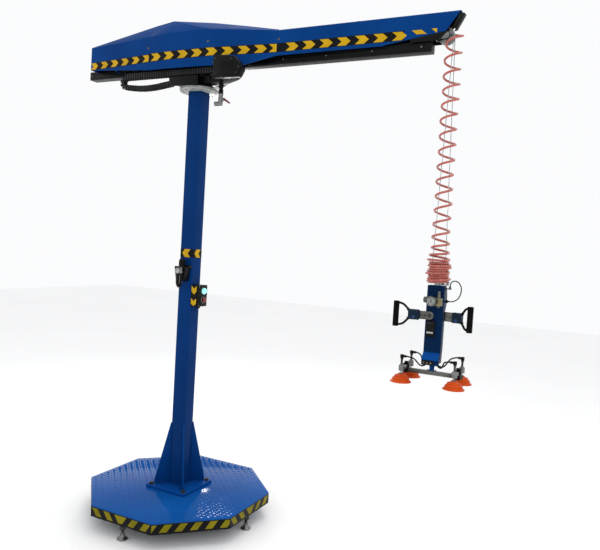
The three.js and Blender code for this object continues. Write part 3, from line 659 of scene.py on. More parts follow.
def deck():
    """The octagonal deck, with welds down its corners and tread plate round the flange."""
    piece = Piece().add("deck", from_cad("platform_deck"), bevel=0.0016)
    for _, out, along in octagon():
        corner = (out + along * tan(pi / 8)) * FLATS / 2 * 0.9985
        weld = [corner + Vector((0, 0, 0.095 + 0.0615 * k / 12)) for k in range(13)]
        piece.add("vinyl", bead(weld, 0.0022, 0.0005, 2.1))
    piece.done("deck_plate", "base", "blue_paint", "platform_deck")

    tread = Piece()
    pitch, margin, bare = 0.0285, 0.036, 0.1635  # from bar to bar, to the deck's edge, and round the flange
    count = int(FLATS / pitch) + 2
    for i in range(-count, count):
        for j in range(-count, count):
            x, y = (i + 0.5) * pitch, (j + 0.5) * pitch
            off_side = (atan2(y, x) + pi / 8) % (pi / 4) - pi / 8
            if hypot(x, y) <= (FLATS - margin) / 2 / cos(off_side) and max(abs(x), abs(y)) >= bare:
                tread.add("deck", lozenge(x, y, pi / 4 if (i + j) % 2 else -pi / 4))
    tread.done("tread_pattern", "base", "blue_paint", sharp=20)


def hazard_band():
    """Black film round the skirt with slanted stripes that change their slant at some places."""
    piece = Piece()
    low, high, lean, wide = 0.1015, 0.1465, 0.032, 0.044
    # where on each side the stripes change their slant, and which way the middle stripe narrows
    turns = ((0, -1), (-0.119, 1), (0, -1), (0.119, 1), (0.05, -1), (-0.119, 1), (0, -1), (0.30, 1))
    reach = FLATS / 2 * tan(pi / 8) + 0.0004
    for i, out, along in octagon():
        def film(outline, mat, bottom, top):
            spots = [out * FLATS / 2 + along * u + Vector((0, 0, z)) for u, z in outline]
            piece.add(mat, patch(spots, bottom, top, out))

        film([(-reach, 0.0905), (reach, 0.0905), (reach, 0.1515), (-reach, 0.1515)], "vinyl", -0.001, 0.0005)
        centre, point = turns[i]
        foot, crown = (lean, 0) if point > 0 else (0, lean)
        foot, crown = foot + 0.014, crown + 0.014
        stripes = [[(centre - foot, low), (centre + foot, low), (centre + crown, high), (centre - crown, high)]]
        for side in (-1, 1):
            for k in range(7):
                start = 0.042 + k * 0.088
                row = [(foot + start, low), (foot + start + wide, low), (crown + start + wide, high),
                       (crown + start, high)]
                stripes.append([(centre + side * u, z) for u, z in row])
        for stripe in stripes:
            stripe = clipped(stripe, -reach + 0.001, reach - 0.001)
            if worth_laying(stripe):
                # the stripes take the darkened yellow: painted shade on the skirt
                film(stripe, "shaded_yellow", 0.0003, 0.0009)
    piece.done("hazard_tape", "base", "blue_paint")


def feet():
    pad = [(0, 0), (0.030, 0), (0.032, 0.002), (0.032, 0.0065), (0.0305, 0.0085), (0.024, 0.0125),
           (0.0165, 0.019), (0.0145, 0.024), (0.0145, 0.0285), (0.0125, 0.0305), (0, 0.0305)]
    thread = [(0.0098 if k % 2 else 0.0087, 0.028 + 0.090 * k / 52) for k in range(53)]
    spots = circle(4, 0.525, -90)
    for (x, y), name in zip(spots, ("front", "right", "back", "left")):
        piece = Piece(x, y).add("zinc", turned(pad, sides=40))
        piece.add("dark", turned([(0, 0.028), *thread, (0, 0.118)], sides=24),
                  hexagon_head((0, 0, 0.062), Z, 0.031, 0.015, 0.019))
        piece.add("zinc", slab(hexagon(0.0125), 0.0305, 0.0385), bevel=0.0008)
        piece.done("foot_%s_screw" % name, "foot_" + name[0], "steel", "foot_" + name, sharp=30)


def ballast():
    piece = Piece().add("iron", from_cad("ballast_slab"), bevel=0.003)
    for x in (0.2, -0.2):
        for y in (0.2, -0.2):
            piece.add("zinc", hexagon_head((x, y, 0.1022), (0, 0, -1), 0.024, 0.008, 0.016))
    piece.done("ballast_block", "base", "ballast_steel", "ballast_slab")


# --- column ---------------------------------------------------------------------------------------
def flange():
    """Flange plate with four bolts, and four fins up to the column, all welded."""
    piece = Piece()
    half = 0.305 / 2
    piece.add("bright_blue", cuboid(-half, half, -half, half, 0.1603, 0.180), bevel=0.002, segments=3)
    inner = 0.05 * sqrt(2) - 0.008 * (sqrt(2) - 1) + 0.0005
    fin = [(inner, 0.176), (0.163, 0.176), (0.163, 0.204), (inner + 0.005, 0.580), (inner, 0.580)]
    for i in range(4):
        turn = Matrix.Rotation(pi / 4 + i * pi / 2, 4, "Z")
        piece.add("blue", moved(slab(fin, -0.005, 0.005, "y"), turn), bevel=0.0012)
        for s in (-1, 1):
            foot = [(inner + 0.004 + (0.157 - inner) * k / 22, s * 0.0058, 0.1812) for k in range(23)]
            back = [(inner + 0.0012, s * 0.0056, 0.184 + 0.39 * k / 60) for k in range(61)]
            piece.add("blue", moved(bead(foot, 0.0026, 0.0006, 2.4), turn),
                      moved(bead(back, 0.0022, 0.0005, 2.2), turn))
    for s in (-1, 1):
        run = [-0.042 + 0.084 * k / 30 for k in range(31)]
        for weld in ([(u, s * 0.0525, 0.1815) for u in run], [(s * 0.0525, u, 0.1815) for u in run]):
            piece.add("blue", bead(weld, 0.003, 0.0006, 2.3))
    piece.done("flange_and_fins", "base", "blue_paint", "base_flange")
    bolts = Piece()
    for x, y in circle(4, 0.128 * sqrt(2), 45):
        bolts.add("iron", hexagon_head((x, y, 0.180), Z, 0.0235, 0.0105, 0.0168))
    bolts.done("anchor_bolts", "base", "steel")


def column():
    """The column's paint, and a band of arrows round it."""
    Piece().add("navy", from_cad("column_tube")).done("column_skin", "base", "blue_paint", "column_tube", sharp=24)
    tape = Piece()
    half, corner, low, high = 0.05, 0.008, 1.663, 1.717
    around = []
    for i, (cx, cy) in enumerate(((1, 1), (-1, 1), (-1, -1), (1, -1))):
        for k in range(6):
            a = radians(90 * i + 18 * k)
            around.append(Vector((cx * (half - corner) + corner * cos(a), cy * (half - corner) + corner * sin(a), 0)))
    rings = [[p + p.normalized() * grow + Vector((0, 0, z)) for p in around]
             for grow, z in ((-0.0003, low), (0.0007, low), (0.0007, high), (-0.0003, high))]
    tape.add("vinyl", skinned(rings, True))
    for out, way in (((0, -1), (-1, 0)), ((1, 0), (0, -1)), ((0, 1), (1, 0)), ((-1, 0), (0, 1))):
        out, way = Vector((*out, 0)), Vector((*way, 0))
        for shape in chevron(-0.031, low + 0.001, high - 0.001, 0.043, 0.020):
            spots = [out * half + way * u + Vector((0, 0, z)) for u, z in clipped(shape, -0.0425, 0.0425)]
            tape.add("yellow", patch(spots, 0.0002, 0.0010, out))
    tape.done("column_tape", "base", "black_metal")


def control_box():
    """Two-part housing with a green lamp button, a red stop button and tape on its sides."""
    piece = Piece()
    piece.add("plastic", cuboid(0.0503, 0.098, -0.050, 0.050, 1.352, 1.490), bevel=0.004, segments=3)
    piece.add("plastic", cuboid(0.0985, 0.108, -0.050, 0.050, 1.352, 1.490), bevel=0.0035, segments=3)
    piece.add("zinc", *(socket_head((0.1078, y, z), X, 0.0038, 0.002) for y in (-0.041, 0.041)
                        for z in (1.361, 1.481)))
    for z, r in ((1.452, 0.0235), (1.395, 0.022)):
        bezel = [(0, -0.001), (r, -0.001), (r, 0.002), (r - 0.0015, 0.0036), (0.0206, 0.0036), (0.0200, 0.0018),
                 (0, 0.0018)]
        piece.add("alloy", turned(bezel, (0.108, 0.005, z), X, 36))
    piece.add("plastic", rod((0.080, 0.0, 1.3525), (0.080, 0.0, 1.338), 0.009, 0.001))
    piece.add("plastic", slab(hexagon(0.0115, 0.080), 1.341, 1.348), bevel=0.0008)
    piece.done("control_housing", "base", "black_plastic", "control_box")
    side = Piece()
    for s in (-1, 1):
        def film(outline, mat, bottom, top):
            side.add(mat, patch([(x, s * 0.0502, max(z, 1.3545)) for x, z in outline], bottom, top, (0, s, 0)))

        film([(0.055, 0), (0.0965, 0), (0.0965, 1.4875), (0.055, 1.4875)], "vinyl", -0.0005, 0.0004)
        for top in (1.4845, 1.405):
            for u, outer in ((0.0565, 0.0757), (0.095, 0.0757)):
                ends = (max(top - 0.036, 1.356), max(top - 0.056, 1.356))
                film([(u, top), (u, ends[0]), (outer, ends[1]), (outer, top - 0.018)], "yellow", 0.0002, 0.0009)
    side.done("box_tape", "base", "black_metal")
    lamp = [(0, 0), (0.012, 0), (0.014, 0.002), (0.014, 0.0125), (0.0185, 0.0135), (0.019, 0.0155),
            (0.0185, 0.0185), (0.0165, 0.0215), (0.011, 0.0228), (0, 0.0230)]
    cap = [(0, 0), (0.010, 0), (0.012, 0.002), (0.012, 0.0135), (0.0175, 0.0145), (0.0195, 0.0175),
           (0.0199, 0.0205), (0.0185, 0.0238), (0.014, 0.0249), (0, 0.0250)]
    Piece().add("lamp", turned(lamp, (0.101, 0.005, 1.452), X, 40)).done(
        "start_lens", "start_push", "green_lamp", "start_button")
    Piece().add("red", turned(cap, (0.101, 0.005, 1.395), X, 40)).done(
        "stop_cap", "stop_push", "red_plastic", "stop_button")


def service_unit():
    """Filter and regulator for the air supply, in a black bracket on the column's near face."""
    piece = Piece()
    outline = [(-0.046, 1.604), (0.040, 1.604), (0.026, 1.512), (-0.030, 1.512)]
    piece.add("black", slab(outline, -0.056, -0.0503, "y"), cuboid(-0.045, 0.049, -0.058, -0.0503, 1.594, 1.612),
              bevel=0.0015)
    walls = [slab([(x0, 1.604), (x1, 1.512), (x1 + lean, 1.512), (x0 + lean, 1.604)], -0.106, -0.054, "y")
             for x0, x1, lean in ((-0.046, -0.030, 0.004), (0.040, 0.026, -0.004))]
    piece.add("black", *walls, cuboid(-0.042, 0.036, -0.106, -0.054, 1.600, 1.604), bevel=0.0008)
    piece.add("zinc", *(socket_head((x, -0.058, 1.603), (0, -1, 0), 0.0045, 0.003) for x in (-0.038, 0.042)))
    piece.add("alloy", cuboid(-0.016, 0.024, -0.134, -0.080, 1.560, 1.596), bevel=0.004, segments=3)
    bowl = [(0, 1.474), (0.010, 1.474), (0.0125, 1.478), (0.0165, 1.486), (0.0185, 1.494), (0.019, 1.506),
            (0.019, 1.552), (0.0215, 1.554), (0.0215, 1.562), (0, 1.562)]
    piece.add("plastic", turned(bowl, (0.004, -0.118, 0)))
    drain = [(0.0065, 1.4745), (0.0065, 1.469), (0.005, 1.470), (0.005, 1.4745), (0, 1.4745)]
    piece.add("brass", turned(drain, (0.004, -0.118, 0), sides=16))
    piece.add("zinc", *(rod((x, y, 1.498), (x, y, 1.552), 0.0016, sides=8)
                        for x, y in circle(4, 0.0192, 45, 0.004, -0.118)))
    collar = [(0, 1.594), (0.0195, 1.594), (0.0205, 1.597), (0.0195, 1.602), (0, 1.602)]
    piece.add("alloy", turned(collar, (-0.008, -0.080, 0)))
    knob = [(0, 1.602), (0.0185, 1.604), (0.019, 1.612), (0.0175, 1.638), (0.018, 1.646), (0.0145, 1.652),
            (0, 1.652)]
    piece.add("plastic", turned(knob, (-0.008, -0.080, 0), sides=36))
    piece.add("plastic", *(rod((x, y, 1.608), (x, y, 1.640), 0.0012, sides=6)
                           for x, y in circle(18, 0.0186, 0, -0.008, -0.080)))
    rim = [(0, 0), (0.0175, 0), (0.019, 0.002), (0.019, 0.008), (0.0165, 0.010), (0.0155, 0.008), (0, 0.008)]
    piece.add("alloy", turned(rim, (0.004, -0.133, 1.578), (0, -1, 0)))
    piece.add("paper", disc(0.0152, 0.0, 0.0006, (0.004, -0.1408, 1.578), (0, -1, 0), 28))
    piece.add("red", rod((0.004, -0.1418, 1.578), (-0.003, -0.1418, 1.588), 0.0007, sides=6))
    piece.done("service_set", "base", "black_metal", "service_unit")


# --- head -----------------------------------------------------------------------------------------
def ring():
    profile = [(0, 2.7205), (0.120, 2.7205), (0.1235, 2.722), (0.125, 2.7245), (0.125, 2.7285), (0.1225, 2.7292),
               (0.1225, 2.7308), (0.125, 2.7315), (0.125, 2.7372), (0.1235, 2.739), (0, 2.7395)]
    piece = Piece().add("enamel", turned(profile, sides=72))
    piece.add("zinc", *(socket_head((x, y, 2.7205), (0, 0, -1), 0.0055, 0.0025) for x, y in circle(12, 0.108, 15)))
    piece.done("bearing_ring", "base", "light_alloy", "slew_ring", sharp=28)


def head():
    """The head's cheeks with their stiffeners and bolts, and the two rollers that carry the boom."""
    piece = Piece().add("black", from_cad("head_housing"), bevel=0.0016)
    rear = [(-0.172, 2.815), (-0.172, 2.782), (-0.118, 2.768)]
    for s, web, last, ribs in ((-1, [(0.188, 2.766), (0.284, 2.789), (0.306, 2.816)], 0.225, (0.020, 0.140)),
                               (1, [(0.106, 2.768), (0.166, 2.800), (0.236, 2.8165)], 0.135, (-0.100, 0.020))):
        y = s * 0.085
        bolts = [-0.150, -0.075, 0.0, 0.075] + ([0.150] if s < 0 else []) + [last]
        piece.add("zinc", *(hexagon_head((x, y, 2.806), (0, s, 0), 0.013, 0.005, 0.0095) for x in bolts))
        piece.add("black", slab(rear + web, y, y + s * 0.0035, "y"),
                  *(cuboid(x - 0.004, x + 0.004, y, y + s * 0.010, 2.772, 2.797) for x in ribs), bevel=0.001)
        piece.add("zinc", *(socket_head((x, s * 0.056, 2.8295), (0, s, 0), 0.008, 0.004) for x in (-0.120, 0.120)))
    piece.add("black", *(dome((x, -0.133, 2.772), (0, -1, 0), 0.0035, 0.0018)
                         for x in (-0.110, -0.050, 0.010, 0.060)))
    piece.done("head_frame", "head", "black_metal", "head_housing")
    half = [(0.0192, -0.002), (0.020, -0.003), (0.020, -0.030), (0.0198, -0.034), (0.0175, -0.036), (0, -0.036)]
    profile = half[::-1] + [(r, -h) for r, h in half]
    for name, body, x in (("roller_rear", "roller_a", -0.120), ("roller_front", "roller_b", 0.120)):
        wheel = Piece(x, 0, 2.8295).add("steel", turned(profile, direction=Y, sides=40),
                                        rod((0, -0.0495, 0), (0, 0.0495, 0), 0.0058, 0.0006))
        wheel.add("zinc", *(dome((u, 0.036, v), Y, 0.0016, 0.001) for u, v in circle(6, 0.012)))
        wheel.done(name + "_wheel", body, "steel", name)


def brake():
    """The slewing brake's cover on the head's near side."""
    piece = Piece()
    outline = [(0.240, 2.882), (0.385, 2.868), (0.441, 2.812), (0.448, 2.786), (0.425, 2.746), (0.240, 2.750)]
    inset = [(0.249, 2.873), (0.381, 2.860), (0.433, 2.808), (0.439, 2.787), (0.420, 2.755), (0.249, 2.759)]
    piece.add("black", slab(outline, -0.206, -0.166, "y"), bevel=0.004, segments=3)
    piece.add("black", slab(inset, -0.210, -0.205, "y"), bevel=0.0015)
    piece.add("black", cuboid(0.245, 0.285, -0.170, -0.0853, 2.784, 2.800), bevel=0.002)
    piece.add("dark", *(socket_head((x, -0.210, z), (0, -1, 0), 0.005, 0.0019)
                        for x, z in ((0.262, 2.860), (0.370, 2.851), (0.424, 2.800), (0.408, 2.768), (0.262, 2.771))))
    # end cap and fittings of the brake's air cylinder
    piece.add("zinc", rod((0.300, -0.188, 2.752), (0.300, -0.188, 2.7455), 0.014, 0.001))
    piece.add("dark", *(rod((0.240, -0.188, z), (0.230, -0.188, z), 0.008, 0.001) for z in (2.84, 2.79)))
    piece.add("black", *(cuboid(0.285, 0.385, -0.2118, -0.2095, z, z + 0.006)
                         for z in (2.796, 2.808, 2.820, 2.832)), bevel=0.0008)
    piece.done("brake_block", "head", "black_metal", "brake_unit")


def valve():
    """Shut-off valve on the pipe below the head."""
    body = [(0, 2.632), (0.013, 2.632), (0.015, 2.634), (0.015, 2.668), (0.0135, 2.670), (0.0135, 2.676),
            (0.015, 2.678), (0.015, 2.690), (0, 2.690)]
    pipe = [(0, 2.689), (0.015, 2.689), (0.015, 2.700), (0.012, 2.703), (0.012, 2.738), (0.0145, 2.740),
            (0.0145, 2.7575), (0, 2.7575)]
    piece = Piece(0.205, -0.055).add("zinc", turned(body)).add("black", turned(pipe))
    piece.add("black", slab(hexagon(0.0165), 2.704, 2.716), bevel=0.001)
    piece.add("alloy", rod((-0.041, 0, 2.630), (0.009, 0, 2.630), 0.0142, 0.0015),
              rod((0, 0, 2.655), (0.0208, 0, 2.655), 0.008, 0.0008))
    piece.add("zinc", slab(hexagon(0.0155, 0, 2.630), -0.039, -0.025, "x"), bevel=0.001)
    piece.done("ball_valve", "head", "light_alloy", "valve_body")
    lever = Piece(0, -0.055).add("zinc", rod((0.2265, 0, 2.655), (0.234, 0, 2.655), 0.0098, 0.001),
                                 socket_head((0.234, 0, 2.655), X, 0.0045, 0.002))
    blade = [(0.228, 2.6615), (0.236, 2.6615), (0.2755, 2.634), (0.2725, 2.6275), (0.2675, 2.628), (0.229, 2.650)]
    lever.add("red", slab(blade, -0.006, 0.006, "y"), bevel=0.0014, segments=3)
    lever.done("valve_handle", "lever", "red_plastic", "valve_lever")


def chain_link(piece, place, ahead, long, h=0.0162):
    """One link of the energy chain: two side plates and two cross ribs."""
    ahead = ahead.normalized()
    across = Vector(Y)
    put = Matrix.Translation(place) @ Matrix((ahead, across, ahead.cross(across))).transposed().to_4x4()
    w = 0.017

    def bar(mat, bevel, from_x, to_x, *box):
        piece.add(mat, moved(cuboid(long * from_x, long * to_x, *box), put), bevel=bevel, segments=1)

    for s in (-1, 1):
        bar("plastic", 0.0012, -0.56, 0.40, s * (w - 0.0030), s * w, -h, h)
        pin = rod((long * 0.30, s * (w - 0.0032), 0), (long * 0.30, s * (w + 0.0006), 0), 0.0055, sides=12)
        piece.add("plastic", moved(pin, put))
        bar("rib", 0.0005, -0.20, 0.06, s * (w - 0.0005), s * (w + 0.0014), -h * 0.82, h * 0.82)
        bar("plastic", 0.0008, -0.32, 0.18, -w + 0.001, w - 0.001, s * (h - 0.0032), s * (h + 0.0006))
        bar("plastic", 0, -0.20, 0.06, -w * 0.92, w * 0.92, s * (h - 0.0008), s * (h + 0.0012))


def energy_chain():
    """The chain's upper run along the boom, and its bend with the lower run."""
    y = -0.107
    upper = Piece()
    count, rear, front = 38, -0.500, 0.236
    long = (front - rear) / count
    for i in range(count):
        chain_link(upper, Vector((rear + long * (i + 0.5), y, 2.824)), Vector(X), long, 0.0207)
    upper.add("black", cuboid(0.215, 0.240, -0.124, -0.090, 2.840, 2.849),
              cuboid(0.215, 0.240, -0.124, -0.021, 2.8435, 2.8494), bevel=0.001)
    upper.done("chain_upper_links", "boom", "black_plastic", "chain_upper",
               blend=("chain", "boom", Vector((-0.502, 0, 2.824)) + AXIS, Vector((0.20, 0, 2.824)) + AXIS))
    lower = Piece()
    bend = [(-0.507 + 0.03125 * cos(a), 2.78825 + 0.03125 * sin(a)) for a in (pi / 2 + i * pi / 12 for i in range(13))]
    run = [(-0.455, 2.750), (-0.390, 2.7435), (-0.325, 2.742), (-0.255, 2.746), (-0.190, 2.754), (-0.130, 2.761)]
    line = smooth_path([(x, y, z) for x, z in [(-0.502, 2.8195), *bend, *run]], 8)
    links = 25
    step = sum((b - a).length for a, b in zip(line, line[1:])) / links
    spots, walked, goal = [], 0.0, step / 2
    for a, b in zip(line, line[1:]):
        d = (b - a).length
        while walked + d >= goal and len(spots) < links:
            spots.append((a.lerp(b, (goal - walked) / d), b - a))
            goal += step
        walked += d
    for place, ahead in spots:
        chain_link(lower, place, ahead, step)
    lower.done("chain_lower_links", "chain", "black_plastic", "chain_bend")


# --- boom -----------------------------------------------------------------------------------------
def boom():
    """Rail, sheet covers and the tip's frame, with their tape, fixings and hems."""
    Piece().add("black", from_cad("boom_rail"), bevel=0.0012).done("rail_profile", "boom", "black_metal", "boom_rail")
    rail = Piece()
    for s in (-1, 1):
        y = s * 0.031
        rail.add("black", *(cuboid(-0.916, 1.506, y - s * 0.001, y + s * 0.0022, z - 0.0035, z + 0.0035)
                            for z in (2.8625, 2.8925)), bevel=0.0008)
        rail.add("zinc", *(socket_head((x, y, 2.8775), (0, s, 0), 0.0048, 0.0032)
                           for x in (-0.90, -0.60, -0.30, 0.62, 0.90, 1.18, 1.46)))
    rail.add("black", cuboid(-0.9210, -0.9180, -0.0305, 0.0305, 2.8505, 2.9045), bevel=0.0008)
    rail.add("zinc", *(socket_head((-0.921, y, z), (-1, 0, 0), 0.0032, 0.0018)
                       for y in (-0.022, 0.022) for z in (2.859, 2.896)))
    rail.done("rail_details", "boom", "black_metal")

    for node in ("rear_cover", "mid_cover", "front_cover"):
        Piece().add("blue", from_cad(node), bevel=0.0011, angle=14).done(
            node + "_sheet", "boom", "blue_paint", node, sharp=20)
    cap = Piece().add("black", from_cad("tip_cap"), bevel=0.0016)
    mouth = ((1.40, 2.900), (1.551, 2.900), (1.6475, 3.034), (1.40, 3.030))
    for s in (-1, 1):  # painted inside of the mouth
        corners = [(x, s * (0.0805 - 0.04455 * (x - 0.6)), z) for x, z in mouth]
        cap.add("black", patch(corners, -0.0004, 0.0004, (0, s, 0)))
    cap.done("tip_frame", "boom", "black_metal", "tip_cap")

    skin = Skin()
    boom_tape(skin, -1, "boom_tape_near")
    boom_tape(skin, 1, "boom_tape_far")
    fixings = Piece()
    washer = [(0, -0.0005), (0.0075, -0.0005), (0.0075, 0.0006), (0.006, 0.0009), (0, 0.0009)]
    for s in (-1, 1):
        for x, z in ((-0.311, 2.987), (0.156, 2.989), (0.612, 2.979)):
            hit, normal = skin.side(x, z, s)
            fixings.add("bar", turned(washer, hit, normal, 20), dome(hit, normal, 0.0048, 0.0030))
        spots = [skin.top(x, s * 0.060) for x in (-0.70, -0.42, -0.15, 0.16, 0.42, 0.80, 1.10, 1.40)]
        fixings.add("blue", *(dome(hit, normal, 0.0042, 0.0022) for hit, normal in spots if hit is not None))
        # bolts that hold the covers' lower edge near the tip
        hit, normal = skin.side(1.488, 2.908, s)
        if hit is not None:
            fixings.add("zinc", hexagon_head(hit, normal, 0.013, 0.005, 0.009),
                        hexagon_head(hit + Vector((0.020, -s * 0.0009, -0.004)), normal, 0.010, 0.004, 0.007))
    fixings.done("cover_fixings", "boom", "light_alloy")
    # folded hems along the covers' lower edges
    hems = Piece()
    for s in (-1, 1):
        for count, x0, run, z0, climb in ((12, -0.845, 0.54, 2.8965, -0.047), (16, 0.606, 0.940, 2.8868, 0.0105)):
            line = [(x0 + run * i / count, z0 + climb * i / count) for i in range(count + 1)]
            hits = [(x, skin.side(x, z + 0.004, s)[0], z) for x, z in line]
            hems.add("blue", swept([(x, hit.y, z) for x, hit, z in hits if hit is not None], 0.0022, 8))
    hems.done("cover_hems", "boom", "blue_paint")


def lift():
    """The lift cylinder inside the boom, and its piston rod with a rope wheel."""
    barrel = Piece(0, 0, 2.975)
    profile = [(0.040, -0.818), (0.045, -0.830), (0.0475, -0.828), (0.0475, -0.800), (0.045, -0.798), (0.045, -0.002),
               (0.0475, 0.0), (0.0475, 0.028), (0.045, 0.030), (0.0128, 0.030), (0.0128, 0.0), (0.040, 0.0)]
    barrel.add("alloy", turned(profile, direction=X, sides=40, loop=True))
    for x in (-0.7775, -0.0125):
        strap = circle(32, 0.0465)
        barrel.add("zinc", swept([(x, y, z) for y, z in [*strap, strap[0]]], 0.0028, 6))
        barrel.add("black", cuboid(x - 0.0125, x + 0.0125, -0.030, 0.030, -0.0697, -0.043), bevel=0.002)
    for y, z in ((-0.036, -0.036), (-0.036, 0.036), (0.036, -0.036), (0.036, 0.036)):
        barrel.add("zinc", rod((-0.826, y, z), (0.026, y, z), 0.003, sides=10),
                   hexagon_head((0.028, y, z), X, 0.010, 0.005))
    barrel.done("lift_barrel", "boom", "light_alloy", "lift_cylinder")
    moving = Piece(0, 0, 2.975).add("alloy", rod((-0.437, 0, 0), (-0.407, 0, 0), 0.0395, 0.002, 40))
    moving.add("steel", rod((-0.410, 0, 0), (0.596, 0, 0), 0.012, sides=28))
    moving.add("zinc", cuboid(0.588, 0.598, -0.026, 0.026, -0.018, 0.018), bevel=0.001)
    for s in (-1, 1):
        moving.add("zinc", cuboid(0.590, 0.652, s * 0.018, s * 0.026, -0.018, 0.018), bevel=0.002)
        moving.add("zinc", socket_head((0.636, s * 0.026, 0), (0, s, 0), 0.008, 0.004))
    moving.add("alloy", sheave(0.036, 0.017, 0.636))
    moving.done("piston_and_pulley", "piston", "steel", "piston_rod")


def sheave(r, half, x=0.0):
    """A rope wheel across Y with two round grooves."""
    flank = [(0.0064, half), (r * 0.45, half), (r * 0.5, half * 0.75), (r * 0.82, half * 0.75), (r * 0.86, half),
             (r, half)]
    grooves = [(r - 0.0050 * sin(a), c - 0.0030 * cos(a))
               for c in (-0.012, 0.012) for a in (pi * k / 8 for k in range(9))]
    profile = [(w, -h) for w, h in flank] + grooves + flank[::-1]
    return turned(profile, (x, 0, 0), Y, 56, True)


def tip():
    """Rope wheel in its fork, with the two ropes over it."""
    wheel = Piece(1.585, 0, 2.930).add("alloy", sheave(0.043, 0.020))
    # black discs on the wheel's web for its holes: painted shade
    for s in (-1, 1):
        for u, v in circle(5, 0.029):
            wheel.add("black", disc(0.0052, -0.0002, 0.0006, (u, s * 0.0150, v), (0, s, 0), 16))
    wheel.done("rope_wheel", "sheave", "light_alloy", "tip_sheave")
    fork = Piece(1.585, 0, 2.930)
    nose = [(0.001 + 0.018 * cos(a), 0.018 * sin(a)) for a in (radians(-60 + 15 * k) for k in range(9))]
    outline = [(-0.051, -0.018), (0.007, -0.018), *nose, (0.007, 0.018), (-0.051, 0.018)]
    for s in (-1, 1):
        fork.add("alloy", slab(outline, s * 0.022, s * 0.028, "y"), bevel=0.0012)
        fork.add("zinc", hexagon_head((0, s * 0.028, 0), (0, s, 0), 0.013, 0.004))
    fork.add("alloy", cuboid(-0.061, -0.049, -0.028, 0.028, -0.018, 0.018), bevel=0.0015)
    fork.add("steel", rod((-0.077, 0, 0), (-0.059, 0, 0), 0.0088, 0.0006), rod((0, -0.024, 0), (0, 0.024, 0), 0.0059))
    # the ropes' lay over the wheel, from the hanging side to the inside of the boom
    lay = [(0.0410 * cos(a), 0.0410 * sin(a)) for a in (radians(-2 + 102 * k / 24) for k in range(25))]
    lay += [(-0.0075 - 0.012 * k, 0.0404 + 0.0002 * k) for k in range(1, 5)]
    fork.add("steel", *(swept([(x, y, z) for x, z in lay], 0.002, 8) for y in (-0.012, 0.012)))
    fork.done("wheel_fork", "fork", "light_alloy", "sheave_fork")


# --- gripper --------------------------------------------------------------------------------------
def chamfered(x, y, c):
    """A rectangle of half sizes x and y with its corners cut off."""
    return [(-x + c, -y), (x - c, -y), (x, -y + c), (x, y - c), (x - c, y), (-x + c, y), (-x, y - c), (-x, -y + c)]


def hanger():
    """Cross piece that both ropes end in, on the gripper's swivel."""
    piece = Piece(GRIP)
    turn = Matrix.Rotation(atan2(22, 30), 4, "Z")
    piece.add("alloy", moved(cuboid(-0.041, 0.041, -0.006, 0.006, 1.698, 1.7117), turn), bevel=0.002)
    for s in (-1, 1):
        x, y = 0.030 * s, 0.022 * s
        piece.add("zinc", rod((x, y, 1.7107), (x, y, 1.7277), 0.0045, 0.0008),
                  rod((x, y, 1.693), (x, y, 1.6987), 0.0055, 0.001))
    post = [(0, 1.626), (0.009, 1.626), (0.009, 1.650), (0.0075, 1.653), (0.0075, 1.676), (0.009, 1.680),
            (0.009, 1.702), (0, 1.702)]
    piece.add("steel", turned(post, sides=28))
    piece.add("zinc", slab(hexagon(0.0135), 1.630, 1.641), bevel=0.001)
    piece.add("zinc", slab(chamfered(0.033, 0.023, 0.007), 1.622, 1.630), bevel=0.0016)
    # fitting that takes the coiled hose
    piece.add("dark", cuboid(0.020, 0.054, -0.0065, 0.0065, 1.6148, 1.6196),
              cuboid(0.020, 0.0325, -0.0065, 0.0065, 1.6152, 1.6250), bevel=0.001)
    piece.add("zinc", slab(hexagon(0.0076, 0.053), 1.6150, 1.6200), bevel=0.0006)
    piece.add("alloy", rod((0.053, -0.006, 1.6285), (0.053, 0.012, 1.6285), 0.0080, 0.001))
    piece.add("zinc", rod((0.053, 0, 1.6190), (0.053, 0, 1.6285), 0.0050, 0.0006))
    piece.done("rope_hanger_set", "hoist", "steel", "rope_hanger")


